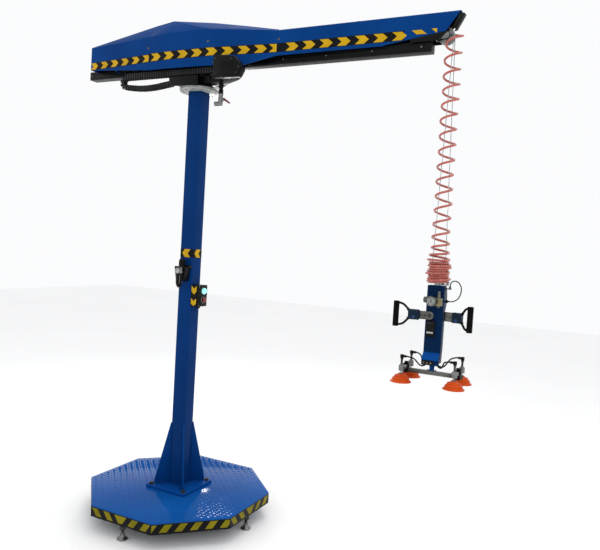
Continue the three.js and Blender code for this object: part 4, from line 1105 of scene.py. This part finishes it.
def gripper_body():
    side = [(-0.030, 1.612), (-0.030, 1.252), (-0.058, 1.220), (-0.058, 1.187), (-0.042, 1.187), (-0.036, 1.196),
            (0.012, 1.196), (0.022, 1.280), (0.022, 1.470), (0.048, 1.512), (0.048, 1.566), (0.024, 1.612)]
    half = 0.046
    piece = Piece(GRIP).add("body", slab(side, -half, half, "x"), bevel=0.0045, segments=4, angle=12)
    # turned-in rim below the foot, a black plate whose dark stands for the mouth: painted shade
    piece.add("plastic", cuboid(-0.040, 0.040, -0.0340, 0.0090, 1.1952, 1.1985), bevel=0.001)
    # the sloping front as a raised slab in a brighter blue than the body: painted light where it faces up
    bright_blue = [(-0.0315, 1.2540), (-0.0605, 1.2210), (-0.0605, 1.2150), (-0.056, 1.2150), (-0.056, 1.2190),
            (-0.029, 1.2500)]
    piece.add("bright_blue", slab(bright_blue, -half + 0.0015, half - 0.0015, "x"), bevel=0.001)
    # black plate for the recess in the front of the foot, with its fittings: its dark is painted shade for the recess
    piece.add("plastic", cuboid(-0.044, 0.020, -0.0592, -0.0560, 1.1885, 1.2130), bevel=0.0006)
    for x in (-0.032, -0.013, 0.006):
        piece.add("dark", rod((x, -0.0575, 1.2000), (x, -0.0608, 1.2000), 0.0058, 0.0006))
        piece.add("brass", rod((x, -0.0600, 1.2000), (x, -0.0616, 1.2000), 0.0034, 0.0006))
    # rivet heads on the sloping front in the same brighter blue: painted light
    piece.add("bright_blue", *(dome((x, y, z), (0, -0.75, 0.66), 0.0030, 0.0016) for x in (-0.036, 0.036)
                        for y, z in ((-0.0418, 1.2440), (-0.0572, 1.2260))))
    boss = [(0, 1.606), (0.019, 1.606), (0.019, 1.6145), (0.016, 1.616), (0.016, 1.6217), (0, 1.6217)]
    piece.add("steel", turned(boss))
    # bracket and nipple of the loop line, and the elbow that it returns to
    bracket = [(0.0445, -0.009), (0.070, -0.009), (0.076, -0.004), (0.076, 0.004), (0.070, 0.009), (0.0445, 0.009)]
    piece.add("body", slab(bracket, 1.5945, 1.6000), bevel=0.001)
    piece.add("zinc", slab(hexagon(0.0078, 0.068), 1.5995, 1.6060), bevel=0.0006)
    piece.add("plastic", rod((0.068, 0, 1.6050), (0.068, 0, 1.6125), 0.0050, 0.0006),
              rod((half - 0.002, 0.032, 1.528), (0.051, 0.032, 1.528), 0.0088, 0.0008),
              rod((0.050, 0.032, 1.528), (0.0568, 0.032, 1.528), 0.0062, 0.0008))
    # lid screws and the back cover
    piece.add("dark", *(socket_head((s * half, 0.008, z), (s, 0, 0), 0.0035, 0.0016)
                        for z in (1.30, 1.40, 1.50, 1.59) for s in (-1, 1)))
    piece.add("body", cuboid(-0.030, 0.030, 0.0465, 0.0495, 1.516, 1.562),
              cuboid(-0.030, 0.030, 0.0205, 0.0235, 1.300, 1.455), bevel=0.001)
    piece.add("dark", *(socket_head((x, y, z), Y, 0.0032, 0.0014) for x in (-0.024, 0.024)
                        for y, z in ((0.0235, 1.308), (0.0235, 1.447), (0.0495, 1.522), (0.0495, 1.556))))
    piece.done("gripper_casting", "gripper", "blue_paint", "gripper_body", sharp=40)


FRONT = -0.0303  # the gripper's front face
REG = GRIP - 0.006  # middle of the regulator


def regulator():
    """Pressure regulator with its gauge on the gripper's front."""
    out = (0, -1, 0)
    piece = Piece(REG, FRONT, 1.530)
    piece.add("bar", cuboid(-0.024, 0.022, -0.040, -0.008, -0.026, 0.022), bevel=0.004, segments=3)
    piece.add("zinc", rod((0, 0, 0), (0, -0.009, 0), 0.016, 0.001))
    gauge = [(0, 0), (0.022, 0), (0.0262, 0.002), (0.027, 0.005), (0.027, 0.0215), (0.0262, 0.0236), (0.0235, 0.0240),
             (0.0232, 0.0205), (0, 0.0205)]
    piece.add("bar", turned(gauge, (0, -0.038, 0), out, 44))
    dial = -0.0586
    piece.add("paper", disc(0.0228, -0.0002, 0.0005, (0, dial, 0), out, 40))
    for k in range(11):
        a = radians(225 - 27 * k)
        inner, thick = (0.0165, 0.0005) if k % 5 else (0.0150, 0.0009)
        piece.add("vinyl", swept([(r * cos(a), dial - 0.0005, r * sin(a)) for r in (inner, 0.0205)], thick, 4))
    a = radians(118)
    piece.add("red", swept([(r * cos(a), dial - 0.0013, r * sin(a)) for r in (-0.006, 0.017)], [0.0010, 0.0004], 6))
    piece.add("vinyl", dome((0, dial - 0.0013, 0), out, 0.0026, 0.0014))
    piece.add("glass", turned([(0, 0), (0.0231, 0), (0.0231, 0.0012), (0, 0.0017)], (0, -0.0605, 0), out, 40))
    # upright fitting beside it, with its brass nut and plug
    x, y = 0.032, -0.022
    body = [(0, -0.034), (0.0072, -0.034), (0.009, -0.031), (0.009, -0.012), (0.0075, -0.010), (0.0075, -0.002),
            (0.009, 0), (0.009, 0.026), (0.0068, 0.029), (0.0068, 0.048), (0.0055, 0.054), (0, 0.054)]
    piece.add("bar", turned(body, (x, y, 0), sides=24))
    piece.add("brass", slab(hexagon(0.0088, x, y), -0.029, -0.015), bevel=0.0008)
    piece.add("zinc", slab(hexagon(0.0088, x, y), 0.020, 0.032), bevel=0.0008)
    piece.add("brass", cuboid(0.020, 0.050, -0.036, -0.010, -0.024, 0.018), bevel=0.003, segments=3)
    piece.add("brass", disc(0.0045, 0, 0.0035, (-0.012, -0.024, 0.022), Z, 18))
    piece.done("regulator_and_gauge", "gripper", "light_alloy", "regulator")
    knob = Piece(REG - 0.050, FRONT - 0.019, 1.534)
    profile = [(0, 0), (0.012, 0), (0.0145, 0.0018), (0.0150, 0.004), (0.0158, 0.020), (0.0145, 0.0225),
               (0.0145, 0.0257), (0, 0.0257)]
    knob.add("bar", turned(profile, direction=X, sides=40))
    for (y0, z0), (y1, z1) in zip(circle(20, 0.0151), circle(20, 0.0159)):
        knob.add("bar", swept([(0.004, y0, z0), (0.019, y1, z1)], 0.0010, 6))
    knob.done("regulator_dial", "pressure", "light_alloy", "regulator_knob")


def control_panel():
    piece = Piece(GRIP, FRONT)
    piece.add("plastic", cuboid(-0.035, 0.011, -0.011, 0, 1.337, 1.423), bevel=0.0025, segments=3)
    piece.add("black", cuboid(-0.032, 0.008, -0.0125, -0.010, 1.372, 1.420), bevel=0.001)
    # plain label strip and three valve ports
    piece.add("paper", cuboid(-0.032, 0.003, -0.0118, -0.0105, 1.3545, 1.3640), bevel=0.0004, segments=1)
    piece.add("dark", *(rod((x, -0.0115, 1.410), (x, -0.0140, 1.410), 0.0036, 0.0005)
                        for x in (-0.026, -0.015, -0.004)),
              *(socket_head((x, -0.0125, 1.377), (0, -1, 0), 0.0026, 0.0013) for x in (-0.030, 0.0)))
    piece.done("valve_panel", "gripper", "black_plastic", "control_block")


def handles():
    """The two bars with their sleeves and D-shaped grips."""
    lean = radians(10.5)
    left = (GRIP, -0.036, 1.450, pi + lean)
    right = (GRIP, 0, 1.450, -lean)
    eye = [(0.022 - 0.022 * sin(a), 0.022 * cos(a)) for a in (pi * k / 14 for k in range(15))]
    bar = Piece(*left).add("bar", slab([(0.0747, -0.022), (0.0747, 0.022), *eye], -0.005, 0.005, "y"), bevel=0.0012)
    bar.add("bar", rod((0.022, -0.0082, 0), (0.022, 0.002, 0), 0.009, 0.0008))
    bar.add("dark", hexagon_head((0.022, 0.005, 0), Y, 0.013, 0.005, 0.0095),
            *(socket_head((u, 0.005, 0), Y, 0.0045, 0.003) for u in (0.046, 0.063)))
    bar.done("arm_bar_left", "gripper", "light_alloy", "handle_bar_left")
    bar = Piece(*right).add("bar", cuboid(0.049, 0.0987, -0.005, 0.005, -0.025, 0.025), bevel=0.0012)
    bar.add("dark", *(socket_head((u, -0.005, 0), (0, -1, 0), 0.0045, 0.003) for u in (0.062, 0.086)))
    bar.done("arm_bar_right", "gripper", "light_alloy", "handle_bar_right")
    ribs = [(0.0160 if k % 2 else 0.0152, -0.062 + 0.120 * k / 26) for k in range(27)]
    grip = [(0, -0.070), (0.0135, -0.070), (0.0160, -0.0675), *ribs, (0.0160, 0.0635), (0.0135, 0.066), (0, 0.066)]
    for name, put, face, a, b, reach in (("grip_left", left, 1, 0.075, 0.135, 0.200),
                                         ("grip_right", right, -1, 0.099, 0.151, 0.194)):
        piece = Piece(*put).add("teal", cuboid(a, b, -0.019, 0.019, -0.027, 0.027), bevel=0.005, segments=3)
        # raised rims, a push button and screws on the sleeve
        piece.add("teal", *(cuboid(u - 0.0015, u + 0.0055, -0.0196, 0.0196, -0.0276, 0.0276)
                            for u in (a + 0.003, b - 0.007)), bevel=0.004)
        mid, out = (a + b) / 2, (0, face, 0)
        bezel = [(0, 0), (0.0085, 0), (0.0085, 0.0012), (0.0070, 0.0016), (0, 0.0016)]
        piece.add("dark", turned(bezel, (mid, face * 0.019, -0.012), out, 24),
                  *(socket_head((mid + u, face * 0.019, w), out, 0.0026, 0.0012)
                    for u in (-0.016, 0.016) for w in (-0.019, 0.019)))
        piece.add("bright_blue", dome((mid, face * 0.0202, -0.012), out, 0.0058, 0.0022))
        piece.add("rubber", turned(grip, (reach, 0, 0), sides=28))
        step = (reach - b) / 62
        along = (b - 0.008, b + 5 * step, b + 24 * step, b + 44 * step, reach)
        for heights in ((0.020, 0.031, 0.049, 0.0565, 0.0580), (-0.020, -0.032, -0.052, -0.0595, -0.0610)):
            piece.add("rubber", swept(smooth_path([(x, 0, z) for x, z in zip(along, heights)]), 0.0060, 14))
        piece.add("rubber", *(rod((b - 0.004, 0, w), (b + 0.004, 0, w * 1.40), 0.0080, 0.001, 20)
                              for w in (-0.020, 0.020)))
        piece.done(name + "_handle", "gripper", "teal_grip", name)


# --- suction frame ----------------------------------------------------------------------------------
def suction_frame():
    stem = [(0, 1.1503), (0.013, 1.1503), (0.013, 1.172), (0.0155, 1.175), (0.0155, 1.179), (0.019, 1.1805),
            (0.019, 1.1945), (0.0178, 1.1956), (0, 1.1956)]
    piece = Piece(GRIP).add("blue", turned(stem, sides=36))
    piece.add("zinc", *(rod((s * 0.013, y, 1.1875), (s * 0.0195, y, 1.1875), 0.0052, 0.0005, 18)
                        for s in (-1, 1) for y in (-0.006, 0.006)))
    piece.done("frame_stem", "suction", "blue_paint", "suction_stem")
    beam = Piece(GRIP).add("bar", cuboid(-0.1645, 0.1645, -0.012, 0.012, 1.128, 1.150), bevel=0.0016)
    for s in (-1, 1):
        beam.add("plastic", cuboid(s * 0.1640, s * 0.1660, -0.0118, 0.0118, 1.1283, 1.1497), bevel=0.0008)
        beam.add("zinc", *(cuboid(-0.094, 0.094, s * 0.0118, s * 0.0124, z - 0.0006, z + 0.0006)
                           for z in (1.1335, 1.1445)),
                 hexagon_head((s * 0.020, 0, 1.150), Z, 0.010, 0.004, 0.0075))
    beam.done("frame_beam", "suction", "light_alloy", "beam")


def cross_bars():
    bush = [(0.0066, -0.0053), (0.0140, -0.0053), (0.0150, -0.0041), (0.0150, 0.0235), (0.0140, 0.0247),
            (0.0066, 0.0247)]
    nut = [(0.0066, 0.0247), (0.0100, 0.0247), (0.0100, 0.0287), (0.0090, 0.0297), (0.0066, 0.0297)]
    knob = [(0, 0.023), (0.0085, 0.023), (0.0095, 0.025), (0.0118, 0.028), (0.0120, 0.0325), (0.0105, 0.034),
            (0, 0.034)]
    for name, body, s in (("cross_bar_left", "arm_l", -1), ("cross_bar_right", "arm_r", 1)):
        piece = Piece(GRIP + s * CROSS, 0, 1.1503)
        piece.add("alloy", cuboid(-0.009, 0.009, -0.074, 0.074, 0, 0.018), bevel=0.0016)
        for w in (-1, 1):
            y = w * CUP_Y
            piece.add("alloy", turned(bush, (0, y, 0), loop=True))
            piece.add("zinc", turned(nut, (0, y, 0), sides=28, loop=True),
                      socket_head((0, y + w * 0.0146, 0.0097), (0, w, 0), 0.0045, 0.004))
            piece.add("plastic", cuboid(-0.014, 0.014, w * 0.0123, w * 0.020, -0.0263, 0.024), bevel=0.0018)
        piece.add("plastic", cuboid(-0.014, 0.014, -0.020, 0.020, 0.0175, 0.024), bevel=0.0018)
        piece.add("plastic", turned(knob, sides=12))
        piece.done(name + "_set", body, "light_alloy", name)


def cups():
    """Four spring plungers with their elbows and bellows cups."""
    hub = [(0, -0.010), (0.0085, -0.010), (0.010, -0.0085), (0.010, 0.0065), (0.0085, 0.008), (0, 0.008)]
    barrel = [(0.0044, -0.0786), (0.006, -0.0786), (0.006, -0.009), (0.0044, -0.009)]
    # outer lip, one fold and the neck, as parts of the cup's height; the inside follows a wall's thickness in
    low, h = 1.085, 0.048
    outside = [(0.0550, 0.0), (0.0570, 0.012), (0.0568, 0.045), (0.0540, 0.12), (0.0485, 0.22), (0.0445, 0.30),
               (0.0440, 0.335), (0.0462, 0.38), (0.0455, 0.43), (0.0400, 0.53), (0.0350, 0.61), (0.0342, 0.65),
               (0.0352, 0.70), (0.0335, 0.74), (0.0250, 0.80), (0.0190, 0.86), (0.0165, 0.92), (0.0145, 0.94)]
    inside = [(0.0, 0.62), (0.0200, 0.60), (0.0270, 0.56), (0.0340, 0.44), (0.0400, 0.27), (0.0480, 0.13),
              (0.0515, 0.04)]
    fitting = [(0, 0.90), (0.0135, 0.90), (0.0140, 0.93), (0.0140, 0.985), (0.0128, 1), (0, 1)]
    for tag, sx, sy, arm, cup in (("fl", -1, -1, "arm_l", "cup_a"), ("bl", -1, 1, "arm_l", "cup_b"),
                                  ("fr", 1, -1, "arm_r", "cup_c"), ("br", 1, 1, "arm_r", "cup_d")):
        x, y = GRIP + sx * CROSS, sy * CUP_Y
        plunger = Piece(x, y, HUB)
        plunger.add("dark", turned(barrel, sides=24, loop=True), dome((0, 0, 0.0075), Z, 0.0040, 0.0005))
        plunger.add("plastic", turned(hub, sides=28),
                    swept([(-sx * u, 0, 0) for u in (0, 0.012, 0.0238)], [0.0068, 0.0068, 0.0066], 20),
                    rod((-sx * 0.0185, 0, 0), (-sx * 0.0240, 0, 0), 0.0070, 0.0008))
        plunger.add("dark", slab(hexagon(0.0088), -0.0175, -0.0105), bevel=0.0006)
        plunger.done("plunger_%s_elbow" % tag, arm, "black_plastic", "plunger_" + tag)
        piece = Piece(x, y, low)
        piece.add("orange", turned([(r, h * f) for r, f in [*inside, *outside, (0, 0.94)]], sides=56))
        for (u0, v0), (u1, v1) in zip(circle(6, 0.012, 15), circle(6, 0.030, 15)):
            piece.add("orange", swept([(u0, v0, h * 0.60), (u1, v1, h * 0.52)], 0.0022, 8))
        piece.add("alloy", turned([(r, h * f) for r, f in fitting]))
        piece.add("steel", rod((0, 0, h - 0.001), (0, 0, 0.109), 0.004, sides=20))
        piece.done("suction_cup_" + tag, cup, "orange_rubber", "cup_" + tag, sharp=40)


for make in (camera, studio, ropes, coil_hose, small_hoses, deck, hazard_band, feet, ballast, flange, column,
             control_box, service_unit, ring, head, brake, valve, energy_chain, boom, lift, tip, hanger,
             gripper_body, regulator, control_panel, handles, suction_frame, cross_bars, cups, studio_floor):
    make()
